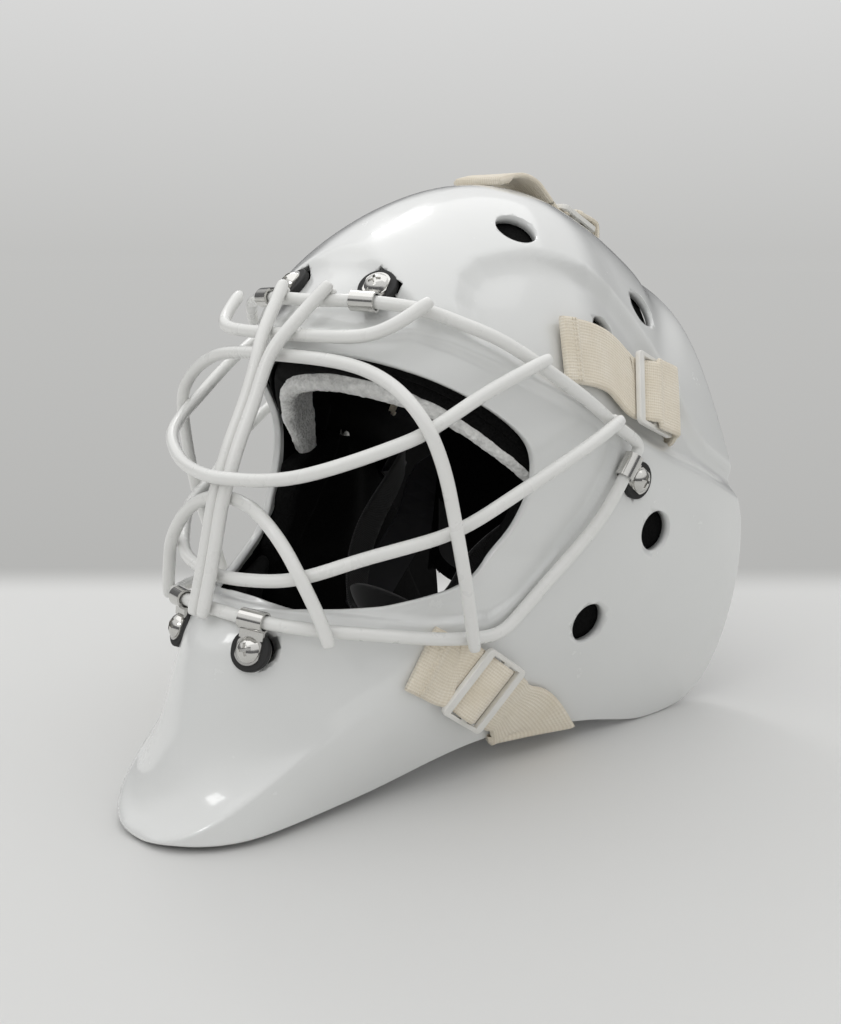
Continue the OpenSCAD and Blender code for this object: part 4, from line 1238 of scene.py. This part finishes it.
def crossings():
    """Places midway between two wires where their surfaces nearly touch."""
    trees, found = {}, []
    for wire in WIRES:
        verts = [v.co / MM for v in NODES[wire].data.vertices]
        tree = kdtree.KDTree(len(verts))
        for i, co in enumerate(verts):
            tree.insert(co, i)
        tree.balance()
        trees[wire] = (verts, tree)
    for i, first in enumerate(WIRES):
        for second in WIRES[i + 1:]:
            near = []
            for co in trees[first][0]:
                other, index, gap = trees[second][1].find(co)
                if gap < WELD_GAP:
                    near.append((gap, (co + other) / 2))
            near.sort(key=lambda pair: pair[0])
            for gap, middle in near:
                if all((middle - kept).length > WELD_APART for kept in found):
                    found.append(middle)
    return found


bead_bm = bmesh.new()
for middle in crossings():
    at = Matrix.Translation(middle) @ Matrix.Diagonal(WELD_SQUASH)
    bmesh.ops.create_icosphere(bead_bm, subdivisions=3, radius=WELD_RADIUS, matrix=at)
piece("weld_beads", bead_bm, "wire_coat", "mask")

# Nodes whose shape is right keep it, and get their slot's finish
for row in frame["record"]["materials"]:
    for node in row.get("nodes", []):
        made = NODES[node]
        if not made.hide_render:
            made.data.materials.clear()
            made.data.materials.append(FINISHES[row["slot"]].material)

# Stage and light
FLOOR_HALF = 14
FLOOR_EDGE = (0.25, 0.33)
# Colours of a painted backdrop, where the camera sees the far floor and the sky: darker at its foot and
# lighter above, as painted light.
PAINTED_WALL_FOOT = (0.462, 0.462, 0.452)
PAINTED_WALL_HORIZON = (0.535, 0.535, 0.525)
PAINTED_WALL_TOP = (0.69, 0.69, 0.685)
CAMERA_BACK = 0.579
CAMERA_HEIGHT = 0.2512
LOWEST_STOP = 0.29


def stage_finish():
    """Pale paper: a floor that keeps the mask's shadow, and far behind it, for camera rays only, a glowing
    painted backdrop with painted shade darker towards its foot.
    """
    f = Finish("pale_paper", roughness=0.8)
    x, y = f.parts(f.place)[:2]
    behind = y * math.cos(CAMERA_AZIMUTH) - x * math.sin(CAMERA_AZIMUTH)
    far = f.node("MapRange", {"interpolation_type": "SMOOTHSTEP"}, behind, *FLOOR_EDGE, 0.0, 1.0)
    fine = f.grain(3, 3) * 0.05
    f.wear(colour=f.mix(fine, (0.67, 0.67, 0.66), (0.73, 0.73, 0.72)))
    under = (behind + CAMERA_BACK).most(0.02) ** -1.0 * CAMERA_HEIGHT
    # The far floor glows for camera rays as a painted backdrop, darker towards its foot as painted shade.
    painted_backdrop = f.ramp(under, (0.0, PAINTED_WALL_HORIZON), (LOWEST_STOP, PAINTED_WALL_FOOT))
    glow = f.tree.nodes.new("ShaderNodeEmission")
    f.tree.links.new(painted_backdrop.socket, glow.inputs["Color"])
    seen = Signal(f, f.tree.nodes.new("ShaderNodeLightPath").outputs["Is Camera Ray"])
    blend = f.tree.nodes.new("ShaderNodeMixShader")
    f.tree.links.new((far * seen).socket, blend.inputs[0])
    f.tree.links.new(f.shader.outputs[0], blend.inputs[1])
    f.tree.links.new(glow.outputs[0], blend.inputs[2])
    f.tree.links.new(blend.outputs[0], f.tree.nodes["Material Output"].inputs["Surface"])
    return f


floor_bm = bmesh.new()
bmesh.ops.create_grid(floor_bm, x_segments=2, y_segments=2, size=FLOOR_HALF)
floor_mesh = bpy.data.meshes.new("floor")
floor_bm.to_mesh(floor_mesh)
floor_bm.free()
floor = bpy.data.objects.new("floor", floor_mesh)
scene.collection.objects.link(floor)
floor.data.materials.append(stage_finish().material)


def lamp(name, place_m, target_m, size, glow):
    """An area lamp. Its glow is how bright its face is, where 1 is white."""
    light = bpy.data.lights.new(name, "AREA")
    light.shape = "RECTANGLE"
    light.size, light.size_y = size
    light.energy = glow * math.pi * size[0] * size[1]
    made = bpy.data.objects.new(name, light)
    made.location = place_m
    way = Vector(target_m) - Vector(place_m)
    made.rotation_euler = way.to_track_quat("-Z", "Y").to_euler()
    scene.collection.objects.link(made)


lamp("overhead", place_m=(-0.2, 0.1, 1.8), target_m=(0, 0, 0.1), size=(2.8, 2.4), glow=0.55)
lamp("back_window", place_m=(-0.95, 0.62, 1.5), target_m=(0, 0, 0.2), size=(0.36, 0.26), glow=6.5)
lamp("front_window", place_m=(0.1, -1.5, 1.2), target_m=(0, 0, 0.15), size=(0.3, 0.3), glow=6)

# The studio's walls light the mask, brighter above; where the camera sees them they are a painted backdrop in
# the paper's colours, lighter above as painted light
world = bpy.data.worlds.new("studio")
scene.world = world
world.use_nodes = True
tree = world.node_tree
background = tree.nodes["Background"]
background.inputs["Strength"].default_value = 1.0
direction = tree.nodes.new("ShaderNodeTexCoord")
split = tree.nodes.new("ShaderNodeSeparateXYZ")
tree.links.new(direction.outputs["Generated"], split.inputs[0])


def world_ramp(*stops):
    """Colours by the height of a direction, which runs from -1 to 1 as 0 to 1 on the ramp."""
    to_share = tree.nodes.new("ShaderNodeMapRange")
    to_share.inputs["From Min"].default_value = -1
    tree.links.new(split.outputs[2], to_share.inputs["Value"])
    ramp = tree.nodes.new("ShaderNodeValToRGB")
    while len(ramp.color_ramp.elements) < len(stops):
        ramp.color_ramp.elements.new(0.5)
    for element, (height, colour) in zip(ramp.color_ramp.elements, stops):
        element.position = (height + 1) / 2
        element.color = (*colour, 1)
    tree.links.new(to_share.outputs[0], ramp.inputs[0])
    return ramp.outputs[0]


# Camera rays see a painted backdrop, lighter above as painted light.
painted_backdrop_colour = world_ramp((0, PAINTED_WALL_HORIZON), (0.2, PAINTED_WALL_TOP), (1, PAINTED_WALL_TOP))
lit_colour = world_ramp((-0.1, (0.6, 0.6, 0.59)), (0.15, (0.76, 0.76, 0.755)), (0.9, (0.76, 0.76, 0.76)))
gloss_colour = world_ramp((-0.1, (0.35, 0.35, 0.35)), (0.04, (0.08, 0.08, 0.085)),
                          (0.26, (0.12, 0.12, 0.125)), (0.42, (0.85, 0.85, 0.85)), (0.9, (1, 1, 1)))
light_path = tree.nodes.new("ShaderNodeLightPath")


def chosen(ray, otherwise, colour):
    choose = tree.nodes.new("ShaderNodeMix")
    choose.data_type = "RGBA"
    tree.links.new(light_path.outputs[ray], choose.inputs[0])
    tree.links.new(otherwise, choose.inputs[6])
    tree.links.new(colour, choose.inputs[7])
    return choose.outputs[2]


tree.links.new(chosen("Is Camera Ray", chosen("Is Glossy Ray", lit_colour, gloss_colour), painted_backdrop_colour),
               background.inputs["Color"])

scene.view_settings.view_transform = "Standard"
